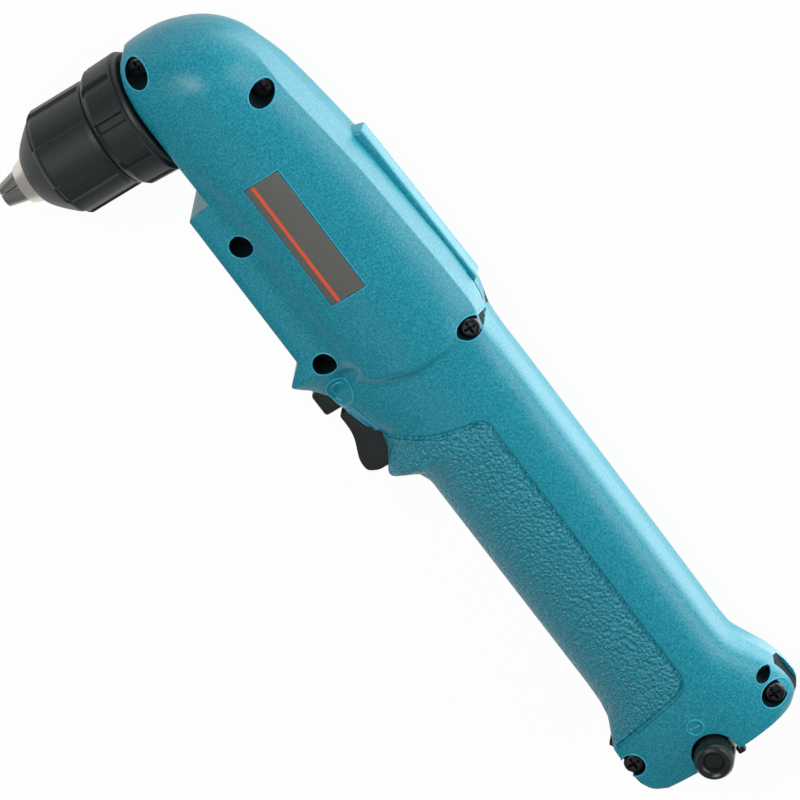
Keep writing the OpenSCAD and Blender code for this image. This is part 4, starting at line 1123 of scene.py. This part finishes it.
# Chuck sleeve: the black moulded front sleeve of the chuck, turned with a round nose.
# Raised panels stand between shallow flats all round it, and one panel is wider than the rest.
sleeve_low, sleeve_high = corners_mm("chuck_sleeve")
sleeve_x = sleeve_low.x
sleeve_end = sleeve_high.x
sleeve_r = 19.4
panel_rise = 0.8
panel_base = 0.5
panel_edge = 1.6
chuck_steps = 360
mouth_r = 9.5
taper_len = 9.9
taper_steps = 24
panel_steps = 60
panel_from = sleeve_x + taper_len + 0.6
panel_to = sleeve_end - 1.8
sleeve_panels = [(46, 93), (113, 136), (158, 181), (203, 226), (248, 271), (293, 316), (338, 361)]


def edge_ramp(value, low, high, soft):
    return smooth_step((value - low) / soft) * smooth_step((high - value) / soft)


def sleeve_relief(x, r, turn):
    if r < mouth_r + 3 or not panel_from - 3 < x < panel_to + 0.6:
        return 0
    turns = (turn, turn + 360)
    raised = max(edge_ramp(at, low, high, panel_edge) for low, high in sleeve_panels for at in turns)
    length = edge_ramp(x, panel_from - 2, panel_to + 0.4, 0.6)
    return length * (panel_rise * raised - panel_base)


sleeve_profile = []
for i in range(taper_steps + 1):
    r = mouth_r + (sleeve_r - 0.65 - mouth_r) * (i / taper_steps) ** 0.8
    sleeve_profile.append((sleeve_x + taper_len * i / taper_steps, r))
for i in range(panel_steps + 1):
    x = panel_from + (panel_to + 0.6 - panel_from) * i / panel_steps
    sleeve_profile.append((x, sleeve_r - 0.35))
sleeve_profile += [
    (sleeve_end - 0.7, sleeve_r - 0.35),
    (sleeve_end, sleeve_r - 1.1),
    (sleeve_end, 16.7),
    (sleeve_x + 13, 16.7),
    (sleeve_x + 13, 14.6),
    (sleeve_x + 5.7, 14.6),
    (sleeve_x + 1.4, 8.75),
    (sleeve_x, 8.75),
]
sleeve = turned(sleeve_profile, lambda way, a, b: (way, a, b), chuck_steps, sleeve_relief)
dressed(sleeve, "sleeve", black_plastic, "sleeve_unit", "black_plastic", "chuck_sleeve")

# Chuck rear ring: the wider black ring behind the sleeve, which turns with the spindle.
# It is turned with a chamfer and a thin rear lip, and deep slots part its broad raised blocks.
ring_low, ring_high = corners_mm("chuck_rear_ring")
ring_x = ring_low.x
ring_end = ring_high.x
ring_r = 21.75
ring_blocks = 9
block_turn = 33
block_edge = 1.4
slot_depth = 1.1
chamfer_steps = 8
block_steps = 44
lip_end = face_x - 0.6


def ring_relief(x, r, turn):
    if r < ring_r - 2.2 or x > ring_end - 0.9:
        return 0
    lap = (turn + 12) % (360 / ring_blocks)
    raised = edge_ramp(lap, 0, block_turn, block_edge)
    length = edge_ramp(x, ring_x + 0.8, ring_end - 1.1, 0.6)
    return -slot_depth * length * (1 - raised)


ring_profile = [(ring_x, 17.4), (ring_x, 19.6)]
for i in range(chamfer_steps + 1):
    ring_profile.append((ring_x + 2 * i / chamfer_steps, 19.8 + 1.5 * i / chamfer_steps))
for i in range(block_steps + 1):
    x = ring_x + 2.2 + (ring_end - 0.8 - ring_x - 2.2) * i / block_steps
    ring_profile.append((x, ring_r - 0.4 + 0.4 * i / block_steps))
ring_profile += [
    (ring_end - 0.3, ring_r - 0.3),
    (ring_end, ring_r - 1.1),
    (ring_end + 0.2, ring_r - 1.2),
    (lip_end - 0.3, ring_r - 1.2),
    (lip_end, ring_r - 1.6),
    (lip_end, 15.6),
    (ring_end, 14.5),
    (ring_x + 5, 14.5),
    (ring_x + 5, 17.4),
]
ring = turned(ring_profile, lambda way, a, b: (way, a, b), chuck_steps, ring_relief)
dressed(ring, "rear_ring", black_plastic, "spindle_unit", "black_plastic", "chuck_rear_ring")

# Chuck core, jaws and the works inside: the solids of the frame, which show as they are.
# Each takes a finish for what it is made of, such as turned steel, brass, copper or moulded plastic.
dark = (0.022, 0.022, 0.024)
finishes = {
    "steel": steel,
    "chuck_steel": metal("chuck_steel", (0.74, 0.7, 0.62), rough=0.34, mark=0.5, stretch=(3, 0.3, 0.3)),
    "cast_case": metal("cast_case", (0.58, 0.59, 0.6), rough=0.5, mark=0.8, depth=0.03),
    "contact_brass": metal("contact_brass", (0.78, 0.58, 0.26), rough=0.3, mark=0.5),
    "bronze": metal("bronze", (0.5, 0.34, 0.18), rough=0.42, mark=0.4),
    "copper": metal("copper", (0.72, 0.36, 0.2), rough=0.32, mark=0.4),
    "magnet": metal("magnet", (0.06, 0.06, 0.06), rough=0.6, mark=0.5, metallic=0.3),
    "screw_black": screw_black,
    "black_plastic": black_plastic,
    "dark_plastic": moulded(
        "dark_plastic", dark, (0.035, 0.035, 0.037), speck=0.5, rough=0.45, grain=0.5, depth=0.03,
    ),
    "battery_plastic": moulded(
        "battery_plastic", (0.018, 0.019, 0.021), dark, speck=0.5, rough=0.42, grain=0.6, depth=0.04,
    ),
    "cell_wrap": moulded(
        "cell_wrap", (0.1, 0.18, 0.05), (0.12, 0.2, 0.06), speck=1.2, rough=0.3, grain=2, depth=0.01,
    ),
    "wire_red": moulded(
        "wire_red", (0.32, 0.014, 0.01), (0.36, 0.02, 0.014), speck=1, rough=0.35, grain=2, depth=0.01,
    ),
    "ring_gear_plastic": moulded(
        "ring_gear_plastic", (0.26, 0.26, 0.23), (0.3, 0.3, 0.27), speck=1, rough=0.4, grain=1, depth=0.02,
    ),
    "felt": moulded(
        "felt", (0.21, 0.17, 0.12), (0.27, 0.23, 0.17), speck=0.4, rough=0.85, grain=0.3, depth=0.1,
    ),
}
jaw_steel = metal("jaw_steel", (0.3, 0.29, 0.27), rough=0.28, mark=0.4)
# The gear case takes a near-black cast finish, partly as painted shade: the slivers of it seen in the gap
# behind the chuck read as dark.
dark_case_painted_shade = metal("dark_case_painted_shade", (0.03, 0.03, 0.032), rough=0.5, mark=0.8, depth=0.03)
special = {"gear_case": dark_case_painted_shade, "latch_pins": screw_black}
special.update({f"jaw_{i}": jaw_steel for i in (1, 2, 3)})
for part in frame["record"]["subparts"]:
    finish = special.get(part["node"], finishes.get(part["material_slot"]))
    if finish:
        for place in frame["nodes"][part["node"]].material_slots:
            place.material = finish

# Floor and lamps: a pale table top, three soft daylight boxes round it and a low panel at the back.
# The table reads as white to the camera and in reflections, and still takes the tool's soft shadow.
floor_z = cad_box[0].z
table_white = 0.95
daylight = 0.35
bpy.ops.mesh.primitive_plane_add(size=12, location=(0, 0, floor_z))
floor = bpy.context.object
floor.name = "table"
white_top, tree, shader = new_material("white_top")
shader.inputs["Base Color"].default_value = (0.9, 0.9, 0.9, 1)
shader.inputs["Roughness"].default_value = 0.8
glow = add_node(tree, "ShaderNodeEmission", Color=(1, 1, 1, 1), Strength=1)
rays = add_node(tree, "ShaderNodeLightPath")
seen = rays.outputs["Is Camera Ray"]
for kind in ("Is Glossy Ray", "Is Transmission Ray"):
    either = tree.nodes.new("ShaderNodeMath")
    either.operation = "MAXIMUM"
    tree.links.new(seen, either.inputs[0])
    tree.links.new(rays.outputs[kind], either.inputs[1])
    seen = either.outputs[0]
share = tree.nodes.new("ShaderNodeMath")
share.operation = "MULTIPLY"
share.inputs[1].default_value = table_white
tree.links.new(seen, share.inputs[0])
blend = tree.nodes.new("ShaderNodeMixShader")
tree.links.new(share.outputs[0], blend.inputs["Fac"])
tree.links.new(shader.outputs["BSDF"], blend.inputs[1])
tree.links.new(glow.outputs["Emission"], blend.inputs[2])
tree.links.new(blend.outputs["Shader"], tree.nodes["Material Output"].inputs["Surface"])
floor.data.materials.append(white_top)

world = bpy.data.worlds.new("daylight")
bpy.context.scene.world = world
world.use_nodes = True
sky = world.node_tree.nodes["Background"]
sky.inputs["Color"].default_value = (0.95, 0.97, 1, 1)
sky.inputs["Strength"].default_value = daylight


def lamp(name, place, turn, size, power):
    bpy.ops.object.light_add(type="AREA", location=place, rotation=turn)
    box = bpy.context.object
    box.name = name
    box.data.shape = "RECTANGLE"
    box.data.size, box.data.size_y = size
    box.data.energy = power


soft_boxes = [
    ("back_box", (0.95, -0.2, 0.28), 0.8, (0.9, 0.4), 4.5),
    ("top_box", (0.05, 0.5, 0.85), 1.3, (0.7, 0.7), 9.5),
    ("over_box", (-0.32, -0.32, 0.89), 1, (0.2, 0.2), 0.2),
]
for name, towards, far, size, power in soft_boxes:
    turn = Vector(towards).to_track_quat("Z", "Y").to_euler()
    lamp(name, view_centre + Vector(towards).normalized() * far, turn, size, power)
panel_place = Vector((body_back + 55, -120, floor_z / mm + 1)) * mm
lamp("table_panel", panel_place, (math.pi, 0, 0), (0.1, 0.34), 0.3)
